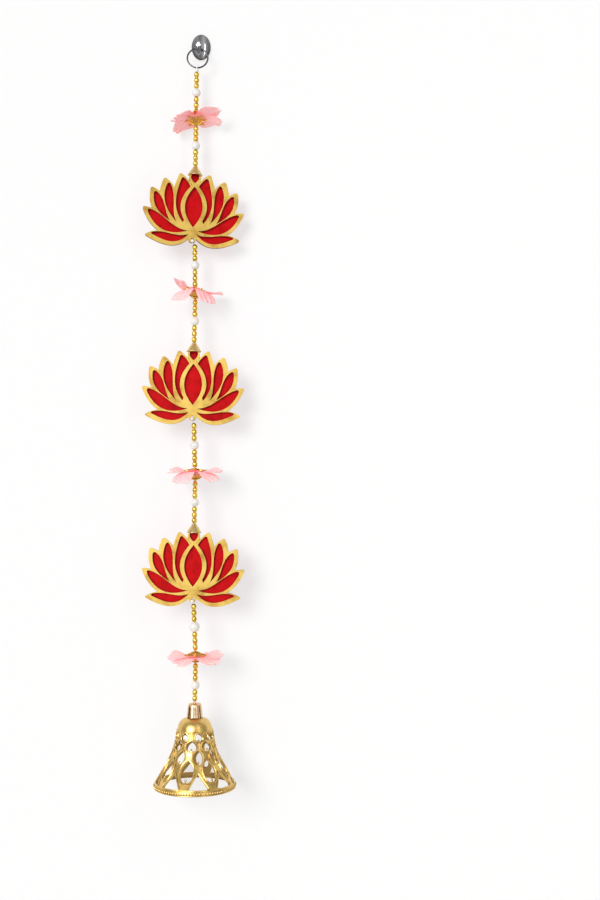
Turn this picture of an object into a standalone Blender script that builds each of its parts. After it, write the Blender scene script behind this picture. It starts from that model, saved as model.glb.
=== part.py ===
"""One strand of a toran door hanging on its wall hook.

Gold beads, pearls, cloth blossoms and cut lotus plates are threaded one below
another, from a steel ring at the top to a pierced bell at the foot.

Frame: +Z up, the front faces -Y, the wall is the plane Y = 0, and the origin
is the centre of the hook plate's back. Lengths in the tables are millimetres.
"""
import math

import bmesh
import bpy
from mathutils import Euler, Matrix, Vector
from mathutils.geometry import delaunay_2d_cdt, interpolate_bezier

MM = 0.001
GAP = 0.3
CUT_MERGE = 0.0001
BELL_MERGE = 0.01
FLAT_ANGLE = 0.01

# Wall hook
PLATE_WIDTH = 19.4
PLATE_HEIGHT = 26.0
PLATE_EDGE = 1.4
PLATE_DOME = 4.2
PLATE_SIDES = 24
ARM_RADIUS = 2.6
ARM_X = -1.6
ARM_ROUTE = (
    # y, z
    (-2.4, -8.0),
    (-10.5, -8.6),
    (-13.6, -8.5),
    (-15.6, -7.4),
    (-16.6, -5.4),
    (-16.9, -4.2),
)

# Ring and thread
RING_RADIUS = 10.1
RING_WIRE = 0.85
RING_Y = -11.6
RING_X = -2.2
RING_SIDES = 5
RING_STEPS = 28
THREAD_RADIUS = 0.4
THREAD_BEND = 0.7
THREAD_TAIL = 1.5
BORE_RADIUS = 0.8
KNOT_RADIUS = 1.4
KNOT_DROP = 1.7
LOOP_RADIUS = 1.7
LOOP_WIRE = 0.5

# Beads
BEAD_RADIUS = 2.65
BEAD_WAIST = 1.35
BEAD_SHOULDER = 0.32
BEAD_SIDES = 7
PEARL_SIDES = 10
PEARL_ARCS = 5
PEARL_POLE = 15.0
PEARL_RADIUS = 4.4
PEARL_LENGTH = 7.8
SEED_RADIUS = 1.75
SEED_HEIGHT = 2.5
SEED_DROP = 0.9
SEED_SIDES = 8

# The line that the strand hangs along, from the hook out to the bell's axis
STRAND_LINE = (
    # z, x, distance from the wall
    (-20.0, -2.6, 13.4),
    (-30.0, -3.4, 16.2),
    (-125.0, -4.2, 20.4),
    (-205.0, -4.7, 23.6),
    (-257.0, -4.0, 26.0),
    (-305.0, -5.0, 28.0),
    (-385.0, -5.0, 31.3),
    (-440.0, -3.5, 33.7),
    (-485.0, -4.3, 35.6),
    (-565.0, -4.7, 38.9),
    (-618.0, -2.4, 41.3),
    (-661.0, -3.2, 43.2),
    (-760.0, -3.2, 43.2),
)

# What is threaded on the line, top to bottom
STRAND_TOP = -29.6
STRAND = (
    # kind, length along the strand, beads in a run
    ("beads", 17.0, 3),
    ("pearl", 7.7, 1),
    ("beads", 17.5, 3),
    ("flower", 12.1, 1),
    ("beads", 15.5, 3),
    ("pearl", 7.8, 1),
    ("beads", 16.5, 3),
    ("lotus", 79.0, 1),
    ("beads", 16.6, 3),
    ("pearl", 7.8, 1),
    ("beads", 17.8, 3),
    ("flower", 12.2, 1),
    ("beads", 17.3, 3),
    ("pearl", 7.8, 1),
    ("beads", 17.3, 3),
    ("lotus", 80.2, 1),
    ("beads", 18.0, 3),
    ("pearl", 7.8, 1),
    ("beads", 17.6, 3),
    ("flower", 13.3, 1),
    ("beads", 17.3, 3),
    ("pearl", 7.4, 1),
    ("beads", 16.6, 3),
    ("lotus", 79.4, 1),
    ("beads", 17.8, 3),
    ("pearl", 9.0, 1),
    ("beads", 18.0, 3),
    ("flower", 12.6, 1),
    ("beads", 17.2, 3),
    ("pearl", 7.8, 1),
    ("beads", 11.6, 2),
)

# Cone cap over a lotus plate's top
CONE_PROFILE = (
    # radius, drop from its top
    (2.3, 0.0),
    (2.6, 1.1),
    (4.8, 4.0),
    (6.3, 6.6),
    (7.3, 9.0),
)
CONE_WALL = 0.6
CONE_SIDES = 14

# Lotus plates: right half, from the hub up and out
LOTUS_PETALS = (
    # root, tip of the opening, bulges of its outer side, of its inner side, gold tip, gold band's extra bulge
    ((3.9, -7.0), (42.9, -8.4), (13.5, 6.0), (5.6, -4.8), (48.2, -10.6), 0.0),
    ((4.9, -3.6), (47.2, 16.2), (14.5, 13.8), (7.5, -5.0), (51.6, 17.8), 0.0),
    ((23.2, 5.2), (40.0, 35.0), (6.5, 9.0), (1.5, -7.0), (43.6, 38.4), 2.0),
    ((16.6, 4.3), (26.2, 45.2), (7.8, 11.1), (4.7, -6.6), (30.6, 48.9), 5.5),
    ((10.2, 4.2), (13.0, 51.2), (11.3, 5.0), (-6.0, -18.0), (15.2, 55.0), 0.0),
)
LOTUS_BAND = 3.6
LOTUS_ROOT_REACH = 4.5
LOTUS_CENTRE_TIP = 41.2
LOTUS_CENTRE_BULGE = 11.9
LOTUS_CENTRE_BAND = 4.2
LOTUS_DROP = (44.4, 56.2, 4.0, 7.0)
LOTUS_NECK = (40.6, 58.3, 7.5, 8.8)
LOTUS_HUB = (-13.0, 9.0, 10.5, 10.5)
LOTUS_FAN = (-8.0, 18.0, 28.0, 28.0)
LOTUS_HOLE_Z = -11.9
LOTUS_HOLE_RADIUS = 1.3
LOTUS_LUG_RADIUS = 3.8
LOTUS_RIM_Z = 53.5
LOTUS_FACE = 3.0
LOTUS_BACKING = 1.8
LOTUS_SHIFT = 0.8
LOTUS_STEPS = 6
LOTUS_BACK_SCALE = 0.98
LOTUS_TURNS = (
    # roll as seen from the front (right side down), yaw (left side forward), degrees
    (2.2, 9.0),
    (1.2, 3.0),
    (0.8, 1.0),
)

# Flowers
FLOWER_HOLE = 1.2
FLOWER_THICK = 1.0
FLOWER_PETALS = 5
PETAL_ROUNDING = 0.45
PETAL_NOTCH = 0.09
WALL_ROOM = 3.5
PETAL_NOTCH_WIDTH = 0.16
PETAL_RUFFLE = 1.1
PETAL_RUFFLES = 9.0
FLOWER_STEPS = 30
FLOWER_RADII = (FLOWER_HOLE, 10.8, 19.0, 27.0)
PETAL_TWIST_ARM = 8.0
PETAL_GAP = 0.15
CAP_RADII = (1.2, 3.0, 6.8, 10.2)
CAP_HEIGHTS = (0.0, 0.15, 0.8, 1.0)
CAP_LOBES = 8
CAP_SCALLOP = 0.6
CAP_THICK = 0.7
CAP_MARGIN = 1.3
FLOWERS = (
    # roll, pitch in degrees, drop of the cloth below the beads, depth of the upper cap, of the lower cap,
    # and each petal's (direction, reach, lift at the tip, twist in degrees)
    (-4.0, -22.0, 3.9, 1.2, 5.3,
     ((30, 26, 0, -20), (90, 24, 8, 6), (150, 27, -6, 26), (205, 26, -8, 20), (335, 27, 0, -22))),
    (6.0, -9.0, 4.6, 1.4, 4.6,
     ((16, 27, 3, -22), (90, 25, 4, 6), (160, 27, 10, 26), (222, 27, -7, 28), (322, 26, -8, -26))),
    (1.0, -3.0, 5.0, 1.6, 3.8,
     ((14, 27, 4, -18), (90, 25, 3, 6), (168, 27, 2, 26), (226, 26, -12, 16), (332, 26, -8, -20))),
    (0.5, 2.0, 6.6, 3.4, 2.0,
     ((12, 27, 2, -16), (90, 25, -1, 6), (172, 27, 1, 16), (222, 26, -5, 14), (326, 26, -5, -14))),
)

# Bell
BELL_SIDES = 20
BELL_WALL = 1.9
BELL_TOP = -675.8
BELL_HOLE = 1.0
BELL_PROFILE = (
    # radius, drop from the dome's top
    (BELL_HOLE, 0.0),
    (9.0, 0.2),
    (14.4, 2.9),
    (17.0, 9.5),
    (18.4, 20.0),
    (21.6, 32.4),
    (26.2, 42.5),
    (37.6, 62.3),
    (40.0, 66.0),
    (40.0, 69.2),
)
EGG = ((0.0, 1.0), (0.68, 0.5), (1.0, -0.2), (0.85, -0.72), (0.35, -1.0))
TENT = ((0.08, 1.0), (1.0, -0.85), (0.9, -1.0))
BELL_COLUMNS = 8
BELL_OPENINGS = (
    # outline, middle drop, half width, half height, turn in degrees
    (EGG, 16.6, 3.9, 4.2, 17.0),
    (EGG, 24.9, 5.6, 5.0, -5.0),
    (EGG, 35.2, 4.9, 6.6, 12.0),
    (EGG, 47.6, 6.6, 9.6, -11.0),
    (TENT, 56.8, 9.4, 6.6, 10.0),
)
CROWN_SIDES = 16
CROWN_PROFILE = (
    # radius, drop from its top
    (BELL_HOLE, 0.0),
    (4.6, 0.2),
    (6.9, 1.9),
    (8.2, 14.0),
)
CROWN_WALL = 1.4
CROWN_ROOF = 1.8
CROWN_SLOTS = 4
CROWN_SLOT_WIDTH = 2.6
CROWN_SLOT_HEIGHT = 12.0
CROWN_SLOT_TOP = 3.0


def clear_scene():
    for item in list(bpy.data.objects):
        bpy.data.objects.remove(item, do_unlink=True)


def new_collection(name):
    collection = bpy.data.collections.new(name)
    bpy.context.scene.collection.children.link(collection)
    return collection


def new_material(name, colour, roughness, metallic):
    material = bpy.data.materials.new(name)
    material.use_nodes = True
    shader = material.node_tree.nodes["Principled BSDF"]
    shader.inputs["Base Color"].default_value = (*colour, 1.0)
    shader.inputs["Roughness"].default_value = roughness
    shader.inputs["Metallic"].default_value = metallic
    material.diffuse_color = (*colour, 1.0)
    return material


def link(name, data, material, collection=None):
    """Puts a mesh or curve, drawn in millimetres, into the scene in metres."""
    item = bpy.data.objects.new(name, data)
    (collection or PARTS).objects.link(item)
    data.transform(Matrix.Scale(MM, 4))
    data.materials.append(material)
    return item


def bake(item):
    """A new mesh of what the object's modifiers and curve make, with its caps welded."""
    evaluated = item.evaluated_get(bpy.context.evaluated_depsgraph_get())
    mesh = bpy.data.meshes.new_from_object(evaluated)
    welded = bmesh.new()
    welded.from_mesh(mesh)
    bmesh.ops.remove_doubles(welded, verts=welded.verts, dist=0.00001)
    welded.to_mesh(mesh)
    welded.free()
    return mesh


def line_point(height):
    """The point of the strand's line at a height, in millimetres."""
    for (z0, x0, d0), (z1, x1, d1) in zip(STRAND_LINE, STRAND_LINE[1:]):
        if height >= z1:
            break
    t = (height - z0) / (z1 - z0)
    return Vector((x0 + (x1 - x0) * t, -(d0 + (d1 - d0) * t), height))


def line_turn(top, bottom):
    """The rotation that lays local Z along the strand between two points."""
    return Vector((0.0, 0.0, 1.0)).rotation_difference(top - bottom)


def turned(name, profile, sides, material):
    """A closed profile of (radius, z) points, outer side first and downwards, turned about Z."""
    mesh = bpy.data.meshes.new(name)
    shape = bmesh.new()
    ring = [shape.verts.new((radius, 0.0, z)) for radius, z in profile]
    for start, end in zip(ring, ring[1:] + ring[:1]):
        shape.edges.new((start, end))
    shape.to_mesh(mesh)
    shape.free()
    item = link(name, mesh, material)
    screw = item.modifiers.new("Turn", "SCREW")
    screw.steps = sides
    screw.render_steps = sides
    screw.use_merge_vertices = True
    screw.merge_threshold = 0.00001
    screw.use_smooth_shade = True
    return item


def spun_sheet(name, radii, steps, form, thickness, material):
    """Rings of points spun about Z, each moved to form(radius, angle), made a sheet of cloth or metal."""
    shape = bmesh.new()
    spoke = [shape.verts.new((radius, 0.0, 0.0)) for radius in radii]
    edges = [shape.edges.new(pair) for pair in zip(spoke, spoke[1:])]
    bmesh.ops.spin(
        shape,
        geom=spoke + edges,
        cent=(0.0, 0.0, 0.0),
        axis=(0.0, 0.0, 1.0),
        angle=math.tau,
        steps=steps,
        use_merge=True,
    )
    for vert in shape.verts:
        radius = math.hypot(vert.co.x, vert.co.y)
        angle = math.atan2(vert.co.y, vert.co.x)
        reach, height = form(radius, angle)
        vert.co = (reach * math.cos(angle), reach * math.sin(angle), height)
    bmesh.ops.recalc_face_normals(shape, faces=shape.faces)
    mesh = bpy.data.meshes.new(name)
    shape.to_mesh(mesh)
    shape.free()
    mesh.shade_smooth()
    item = link(name, mesh, material)
    thicken(item, thickness, 0.0)
    return item


def thicken(item, thickness, offset):
    """Gives an open sheet its thickness, about its middle (0) or inwards (-1)."""
    wall = item.modifiers.new("Thickness", "SOLIDIFY")
    wall.thickness = thickness * MM
    wall.offset = offset


def place(item, top, bottom, turn=None):
    """Sets an object on the strand, its local origin at the upper point."""
    item.location = top * MM
    item.rotation_mode = "QUATERNION"
    item.rotation_quaternion = line_turn(top, bottom)
    if turn is not None:
        item.rotation_quaternion = item.rotation_quaternion @ turn.to_quaternion()


def tube(name, points, radius, resolution, material):
    """A round tube with closed ends through points in millimetres, as a mesh."""
    curve = bpy.data.curves.new(name, "CURVE")
    curve.dimensions = "3D"
    curve.bevel_depth = radius * MM
    curve.bevel_resolution = resolution
    curve.use_fill_caps = True
    spline = curve.splines.new("POLY")
    spline.points.add(len(points) - 1)
    for point, position in zip(spline.points, points):
        point.co = (*(Vector(position) * MM), 1.0)
    line = bpy.data.objects.new(name, curve)
    TOOLS.objects.link(line)
    mesh = bake(line)
    bpy.data.objects.remove(line, do_unlink=True)
    mesh.materials.append(material)
    item = bpy.data.objects.new(name, mesh)
    PARTS.objects.link(item)
    return item


def join(item, extras):
    """Unites further closed bodies with an object."""
    for extra in extras:
        extra.hide_render = True
        extra.display_type = "WIRE"
        union = item.modifiers.new("Join", "BOOLEAN")
        union.operation = "UNION"
        union.solver = "EXACT"
        union.object = extra


def ring_mesh(name, radius, wire, sides, steps):
    """A round ring in the XZ plane about the origin."""
    shape = bmesh.new()
    bmesh.ops.create_circle(shape, segments=sides, radius=wire)
    bmesh.ops.translate(shape, verts=shape.verts, vec=(radius, 0.0, 0.0))
    bmesh.ops.spin(
        shape,
        geom=shape.verts[:] + shape.edges[:],
        cent=(0.0, 0.0, 0.0),
        axis=(0.0, 1.0, 0.0),
        angle=math.tau,
        steps=steps,
        use_merge=True,
    )
    bmesh.ops.recalc_face_normals(shape, faces=shape.faces)
    return finished(shape, name)


def finished(shape, name):
    """Turns a bmesh into a smooth mesh."""
    mesh = bpy.data.meshes.new(name)
    shape.to_mesh(mesh)
    shape.free()
    mesh.shade_smooth()
    return mesh


def bead_run(name, length, count, top, bottom):
    """Beads touching each other on a common bore."""
    pitch = length / count
    outer = [(BEAD_WAIST, 0.0)]
    for number in range(count):
        start = -number * pitch
        outer.append((BEAD_RADIUS, start - BEAD_SHOULDER * pitch))
        outer.append((BEAD_RADIUS, start - (1.0 - BEAD_SHOULDER) * pitch))
        outer.append((BEAD_WAIST, start - pitch))
    profile = outer + [(BORE_RADIUS, -length), (BORE_RADIUS, 0.0)]
    item = turned(name, profile, BEAD_SIDES, GOLD_BEAD)
    place(item, top, bottom)


def pearl(name, length, top, bottom):
    """A round pearl with a bore."""
    radius = PEARL_RADIUS * length / PEARL_LENGTH
    half = length / 2
    profile = []
    pole = math.radians(PEARL_POLE)
    for number in range(PEARL_ARCS + 1):
        angle = pole + (math.pi - 2 * pole) * number / PEARL_ARCS
        profile.append((radius * math.sin(angle), half * (math.cos(angle) / math.cos(pole) - 1)))
    profile += [(BORE_RADIUS, -length), (BORE_RADIUS, 0.0)]
    item = turned(name, profile, PEARL_SIDES, PEARL)
    place(item, top, bottom)


def petal_form(petals, room):
    """The reach and height of a blossom of five notched, uneven petals, short of the wall by the room behind it."""
    def form(radius, angle):
        nearest = min(petals, key=lambda row: abs(turn_between(angle, row[0])))
        direction, reach, lift, twist = nearest
        reach = min(reach, room / max(math.sin(angle), 0.01))
        share = turn_between(angle, direction) * FLOWER_PETALS / math.pi
        spread = radius / FLOWER_RADII[-1]
        outline = 1.0 - PETAL_ROUNDING * min(abs(share), 1.0) ** 3
        outline -= PETAL_NOTCH * math.exp(-(share / PETAL_NOTCH_WIDTH) ** 2)
        outline -= PETAL_GAP * min(max(abs(share) - 1.0, 0.0), 1.0)
        outline = 1.0 + (outline * reach / FLOWER_RADII[-1] - 1.0) * spread ** 2
        free = max(0.0, (radius - FLOWER_RADII[1]) / (FLOWER_RADII[-1] - FLOWER_RADII[1]))
        cup = (1.0 - 0.75 * min(abs(share), 1.0)) * lift * free ** 1.3
        side = math.sin(math.pi * max(-1.0, min(share, 1.0)))
        cup -= side * PETAL_TWIST_ARM * math.sin(math.radians(twist)) * free
        ruffle = PETAL_RUFFLE * free * math.sin(PETAL_RUFFLES * angle + direction)
        return radius * outline, cup + ruffle
    return form


def turn_between(angle, degrees):
    """The signed angle from a direction in degrees to an angle in radians."""
    return (angle - math.radians(degrees) + math.pi) % math.tau - math.pi


def cap_form(depth):
    """The scalloped cone of a bead cap, opening down (negative depth) or up."""
    def form(radius, angle):
        number = min(range(len(CAP_RADII)), key=lambda index: abs(CAP_RADII[index] - radius))
        scallop = 0.0
        if number == len(CAP_RADII) - 1:
            scallop = CAP_SCALLOP * math.cos(CAP_LOBES * angle)
        return radius + scallop, depth * CAP_HEIGHTS[number]
    return form


def flower(number, top, bottom):
    """A cloth blossom between two bead caps, all turned alike about the thread."""
    roll, pitch, seat, upper_depth, lower_depth, petals = FLOWERS[number - 1]
    turn = Euler((math.radians(pitch), math.radians(roll), 0.0))
    down = (bottom - top).normalized()
    middle = top + down * seat
    name = f"flower_{number}"
    form = petal_form(petals, -middle.y - WALL_ROOM)
    sheet = spun_sheet(name, FLOWER_RADII, FLOWER_STEPS, form, FLOWER_THICK, PINK_CLOTH)
    place(sheet, middle, bottom, turn)
    name = f"flower_cap_upper_{number}"
    upper = spun_sheet(name, CAP_RADII, 2 * CAP_LOBES, cap_form(-upper_depth), CAP_THICK, FILIGREE)
    place(upper, top + down * CAP_MARGIN, bottom, turn)
    name = f"flower_cap_lower_{number}"
    lower = spun_sheet(name, CAP_RADII, 2 * CAP_LOBES, cap_form(lower_depth), CAP_THICK, FILIGREE)
    place(lower, bottom - down * CAP_MARGIN, bottom + down, turn)


def leaf(root, tip, outer, inner, mirrored=False):
    """The outline of a pointed leaf between two points, each side one curve with two bulges off the chord."""
    root = Vector(root)
    tip = Vector(tip)
    chord = tip - root
    side = Vector((chord.y, -chord.x)).normalized()
    third = chord / 3
    low, high = root + third, tip - third
    out = interpolate_bezier(root, low + side * outer[0], high + side * outer[1], tip, LOTUS_STEPS)
    back = interpolate_bezier(tip, high - side * inner[1], low - side * inner[0], root, LOTUS_STEPS)
    sign = -1.0 if mirrored else 1.0
    return [(sign * point.x, point.y) for point in out[:-1] + back[:-1]]


def disc(centre_z, radius):
    """A round outline on the plate's middle line."""
    turns = [math.tau * (number + 0.5) / 10 for number in range(10)]
    return [(radius * math.sin(turn), centre_z + radius * math.cos(turn)) for turn in turns]


def flat_pieces(outlines, keep):
    """Lays named outlines over each other and keeps the areas that keep() accepts by their names."""
    points = []
    rings = []
    for name, outline in outlines:
        ring = list(range(len(points), len(points) + len(outline)))
        points += [Vector(point) for point in outline]
        swept = sum(points[a].cross(points[b]) for a, b in zip(ring, ring[1:] + ring[:1]))
        rings.append(ring if swept > 0.0 else ring[::-1])
    corners, _, triangles, _, _, owners = delaunay_2d_cdt(points, [], rings, 1, CUT_MERGE, True)
    shape = bmesh.new()
    verts = [shape.verts.new((corner.x, corner.y, 0.0)) for corner in corners]
    for triangle, inside in zip(triangles, owners):
        if keep({outlines[number][0] for number in inside}):
            shape.faces.new([verts[number] for number in triangle])
    bmesh.ops.delete(shape, geom=[vert for vert in shape.verts if not vert.link_faces], context="VERTS")
    return shape


def widen(bulges, band):
    """The bulges of a side that runs a band's width outside another."""
    return tuple(bulge + band * 4 / 3 for bulge in bulges)


def upright(root_z, tip_z, low, high):
    """A leaf on the plate's middle line, alike on both sides."""
    return leaf((0.0, root_z), (0.0, tip_z), (low, high), (low, high))


def lotus_outlines():
    """The gold and the open outlines of a lotus plate, hub at the origin, drawn in X and Y."""
    band = LOTUS_CENTRE_BAND
    centre_side = LOTUS_CENTRE_BULGE + band * 4 / 3
    outlines = [
        ("gold", upright(*LOTUS_NECK)),
        ("gold", upright(*LOTUS_HUB)),
        ("gold", upright(*LOTUS_FAN)),
        ("gold", disc(LOTUS_HOLE_Z, LOTUS_LUG_RADIUS)),
        ("centre band", upright(-4.0, LOTUS_CENTRE_TIP + band, centre_side, centre_side)),
        ("centre", upright(0.0, LOTUS_CENTRE_TIP, LOTUS_CENTRE_BULGE, LOTUS_CENTRE_BULGE)),
        ("open", upright(*LOTUS_DROP)),
        ("hole", disc(LOTUS_HOLE_Z, LOTUS_HOLE_RADIUS)),
    ]
    for root, tip, outer, inner, point, crest in LOTUS_PETALS:
        inner = [-bulge for bulge in inner]
        start = Vector(root) - (Vector(point) - Vector(root)).normalized() * LOTUS_ROOT_REACH
        for mirrored in (False, True):
            outlines.append(("open", leaf(root, tip, outer, inner, mirrored)))
            sides = (widen(outer, LOTUS_BAND), widen((inner[0], inner[1] + crest), LOTUS_BAND))
            outlines.append(("gold", leaf(start, point, *sides, mirrored)))
    return outlines


def gold_area(names):
    """True on the pierced gold face."""
    if names & {"centre", "hole"}:
        return False
    return "centre band" in names or ("gold" in names and "open" not in names)


def backing_area(names):
    """True on the whole backing, which has only the thread's hole."""
    return bool(names & {"gold", "centre band"}) and "hole" not in names


def lotus_plates():
    """The flat meshes of the gold face and of the red backing, standing upright."""
    layers = (
        ("lotus face", gold_area, 1.0, lotus_layer(LOTUS_FACE, 0.0)),
        ("lotus back", backing_area, LOTUS_BACK_SCALE, lotus_layer(LOTUS_BACKING, LOTUS_FACE + GAP)),
    )
    plates = []
    for name, keep, scale, depth in layers:
        shape = flat_pieces(lotus_outlines(), keep)
        bmesh.ops.dissolve_limit(shape, angle_limit=FLAT_ANGLE, verts=shape.verts, edges=shape.edges)
        mesh = bpy.data.meshes.new(name)
        shape.to_mesh(mesh)
        shape.free()
        stand = Matrix.Rotation(math.radians(90), 4, "X") @ Matrix.Diagonal((scale, scale, 1.0, 1.0))
        mesh.transform(Matrix.Translation((0.0, depth, 0.0)) @ stand)
        plates.append(mesh)
    return plates


def lotus_layer(thickness, behind_front):
    """The local Y of a layer's middle, counted back from the plate's front face."""
    front = -(LOTUS_FACE + GAP + LOTUS_BACKING) / 2 - LOTUS_SHIFT
    return front + behind_front + thickness / 2


def lotus(number, top, bottom, plates, route):
    """A cone cap, a gold face, a red backing and a seed bead, and the thread's way past them."""
    wall = [(radius - CONE_WALL, -drop) for radius, drop in reversed(CONE_PROFILE[1:])]
    profile = [(radius, -drop) for radius, drop in CONE_PROFILE]
    profile += wall + [(BORE_RADIUS, -CONE_PROFILE[1][1]), (BORE_RADIUS, 0.0)]
    cone = turned(f"cone_cap_{number}", profile, CONE_SIDES, SATIN_GOLD)
    roll, yaw = LOTUS_TURNS[number - 1]
    turn = Euler((0.0, math.radians(roll), math.radians(yaw)), "YXZ")
    place(cone, top, bottom, turn)
    cone_height = CONE_PROFILE[-1][1]
    to_world = Matrix.LocRotScale(top, line_turn(top, bottom) @ turn.to_quaternion(), None)
    hub = -(cone_height + LOTUS_RIM_Z)
    layers = (("lotus_face", GOLD_FACE, LOTUS_FACE), ("lotus_back", RED_BACKING, LOTUS_BACKING))
    for (name, material, thickness), plate in zip(layers, plates):
        mesh = plate.copy()
        mesh.transform(to_world @ Matrix.Translation((0.0, 0.0, hub)))
        item = link(f"{name}_{number}", mesh, material)
        thicken(item, thickness, 0.0)
    back = lotus_layer(0.0, LOTUS_FACE + GAP + LOTUS_BACKING) + GAP + THREAD_RADIUS
    bead_y = lotus_layer(0.0, 0.0) - SEED_RADIUS - GAP
    hole = hub + LOTUS_HOLE_Z
    bead_top = hole - SEED_DROP
    steps = (
        (0.0, -CONE_PROFILE[1][1]),
        (back, -CONE_PROFILE[2][1]),
        (back, hole + THREAD_BEND),
        (back - THREAD_BEND, hole),
        (bead_y + THREAD_BEND, hole),
        (bead_y, bead_top),
        (bead_y, bead_top - SEED_HEIGHT - GAP),
    )
    route += [to_world @ Vector((0.0, y, z)) for y, z in steps]
    waist = SEED_RADIUS * BEAD_WAIST / BEAD_RADIUS
    profile = [
        (waist, 0.0),
        (SEED_RADIUS, -SEED_HEIGHT * BEAD_SHOULDER),
        (SEED_RADIUS, -SEED_HEIGHT * (1.0 - BEAD_SHOULDER)),
        (waist, -SEED_HEIGHT),
        (BORE_RADIUS, -SEED_HEIGHT),
        (BORE_RADIUS, 0.0),
    ]
    seed = turned(f"seed_bead_{number}", profile, SEED_SIDES, WHITE_BEAD)
    place(seed, to_world @ Vector((0.0, bead_y, bead_top)), to_world @ Vector((0.0, bead_y, bead_top - 1.0)))


def profile_lengths():
    """The length along the bell's profile at each of its rows."""
    lengths = [0.0]
    for (r0, d0), (r1, d1) in zip(BELL_PROFILE, BELL_PROFILE[1:]):
        lengths.append(lengths[-1] + math.hypot(r1 - r0, d1 - d0))
    return lengths


def bell_row(places, value):
    """The radius, drop and length along the profile where one of them, rising down the rows, has a value."""
    rows = [(radius, drop, length) for (radius, drop), length in zip(BELL_PROFILE, profile_lengths())]
    for upper, lower in zip(rows, rows[1:]):
        if value <= lower[places]:
            break
    share = min((value - upper[places]) / (lower[places] - upper[places]), 1.0)
    return [start + (end - start) * share for start, end in zip(upper, lower)]


def bell_surface(turn, along):
    """The point of the bell's outer face at a turn and a length along its profile."""
    radius, drop, _ = bell_row(2, along)
    return Vector((radius * math.sin(turn), -radius * math.cos(turn), -drop))


def bell_outlines():
    """The bell's skin unrolled: a field of cells in turn and length, and the openings over it."""
    lengths = profile_lengths()
    step = math.tau / BELL_SIDES
    outlines = []
    for number in range(BELL_SIDES):
        left = number * step
        for upper, lower in zip(lengths, lengths[1:]):
            right = left + step
            outlines.append(("skin", [(left, upper), (right, upper), (right, lower), (left, lower)]))
    for outline, middle, half_width, half_height, turn in BELL_OPENINGS:
        sides = [*outline, *((-x, z) for x, z in reversed(outline) if x > 0.0)]
        for column in range(-1, BELL_COLUMNS + 1):
            middle_turn = math.radians(turn) + column * math.tau / BELL_COLUMNS
            points = []
            for x, z in sides:
                radius, _, along = bell_row(1, middle - z * half_height)
                points.append((middle_turn + x * half_width / radius, along))
            outlines.append(("open", points))
    return outlines


def bell(route):
    """The bell's dome, lattice skirt and rim as one casting, and the crown on top of it."""
    top = line_point(BELL_TOP)
    shape = flat_pieces(bell_outlines(), lambda names: "skin" in names and "open" not in names)
    for vert in shape.verts:
        vert.co = bell_surface(vert.co.x, vert.co.y)
    bmesh.ops.remove_doubles(shape, verts=shape.verts, dist=BELL_MERGE)
    bmesh.ops.recalc_face_normals(shape, faces=shape.faces)
    body = link("bell", finished(shape, "bell"), BELL_GOLD)
    body.location = top * MM
    thicken(body, BELL_WALL, -1.0)
    crown_drop = CROWN_PROFILE[-1][1]
    wall = [(radius - CROWN_WALL, -drop) for radius, drop in reversed(CROWN_PROFILE[2:])]
    profile = [(radius, -drop) for radius, drop in CROWN_PROFILE]
    crown = turned("bell_crown", profile + wall + [(BELL_HOLE, -CROWN_ROOF)], CROWN_SIDES, SATIN_GOLD)
    crown.location = (top + Vector((0.0, 0.0, crown_drop + GAP))) * MM
    for number in range(CROWN_SLOTS // 2):
        slot = bmesh.new()
        bmesh.ops.create_cube(slot, size=1.0)
        size = Matrix.Diagonal((CROWN_SLOT_WIDTH, 4 * CROWN_PROFILE[-1][0], CROWN_SLOT_HEIGHT, 1.0))
        bmesh.ops.transform(slot, matrix=size, verts=slot.verts)
        cutter = link("slot", finished(slot, "slot"), SATIN_GOLD, TOOLS)
        cutter.hide_render = True
        cutter.display_type = "WIRE"
        middle = crown_drop + GAP - CROWN_SLOT_TOP - CROWN_SLOT_HEIGHT / 2
        cutter.location = (top + Vector((0.0, 0.0, middle))) * MM
        cutter.rotation_euler = (0.0, 0.0, math.radians(45 + 90 * number))
        cut = crown.modifiers.new("Slot", "BOOLEAN")
        cut.operation = "DIFFERENCE"
        cut.solver = "EXACT"
        cut.object = cutter
    route.append(top + Vector((0.0, 0.0, -BELL_WALL - THREAD_TAIL)))


def wall_hook():
    """The domed oval plate and the J-shaped arm that stands out of it, as one casting."""
    half = PLATE_HEIGHT / 2
    shape = bmesh.new()
    profile = [(0.0, PLATE_EDGE + PLATE_DOME)]
    for degrees in (30, 55, 75, 90):
        angle = math.radians(degrees)
        profile.append((half * math.sin(angle), PLATE_EDGE + PLATE_DOME * math.cos(angle)))
    profile += [(half, 0.0), (0.0, 0.0)]
    ring = [shape.verts.new((radius, 0.0, z)) for radius, z in profile]
    edges = [shape.edges.new(pair) for pair in zip(ring, ring[1:])]
    bmesh.ops.spin(
        shape,
        geom=ring + edges,
        cent=(0.0, 0.0, 0.0),
        axis=(0.0, 0.0, 1.0),
        angle=math.tau,
        steps=PLATE_SIDES,
        use_merge=True,
    )
    bmesh.ops.remove_doubles(shape, verts=shape.verts, dist=CUT_MERGE)
    squeeze = Matrix.Diagonal((PLATE_WIDTH / PLATE_HEIGHT, 1.0, 1.0, 1.0))
    oval = Matrix.Rotation(math.radians(90), 4, "X") @ squeeze
    bmesh.ops.transform(shape, matrix=oval, verts=shape.verts)
    bmesh.ops.recalc_face_normals(shape, faces=shape.faces)
    plate = link("wall_hook", finished(shape, "plate"), CHROME)
    arm = tube("arm", [(ARM_X, y, z) for y, z in ARM_ROUTE], ARM_RADIUS, 2, CHROME)
    PARTS.objects.unlink(arm)
    TOOLS.objects.link(arm)
    join(plate, [arm])


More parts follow.
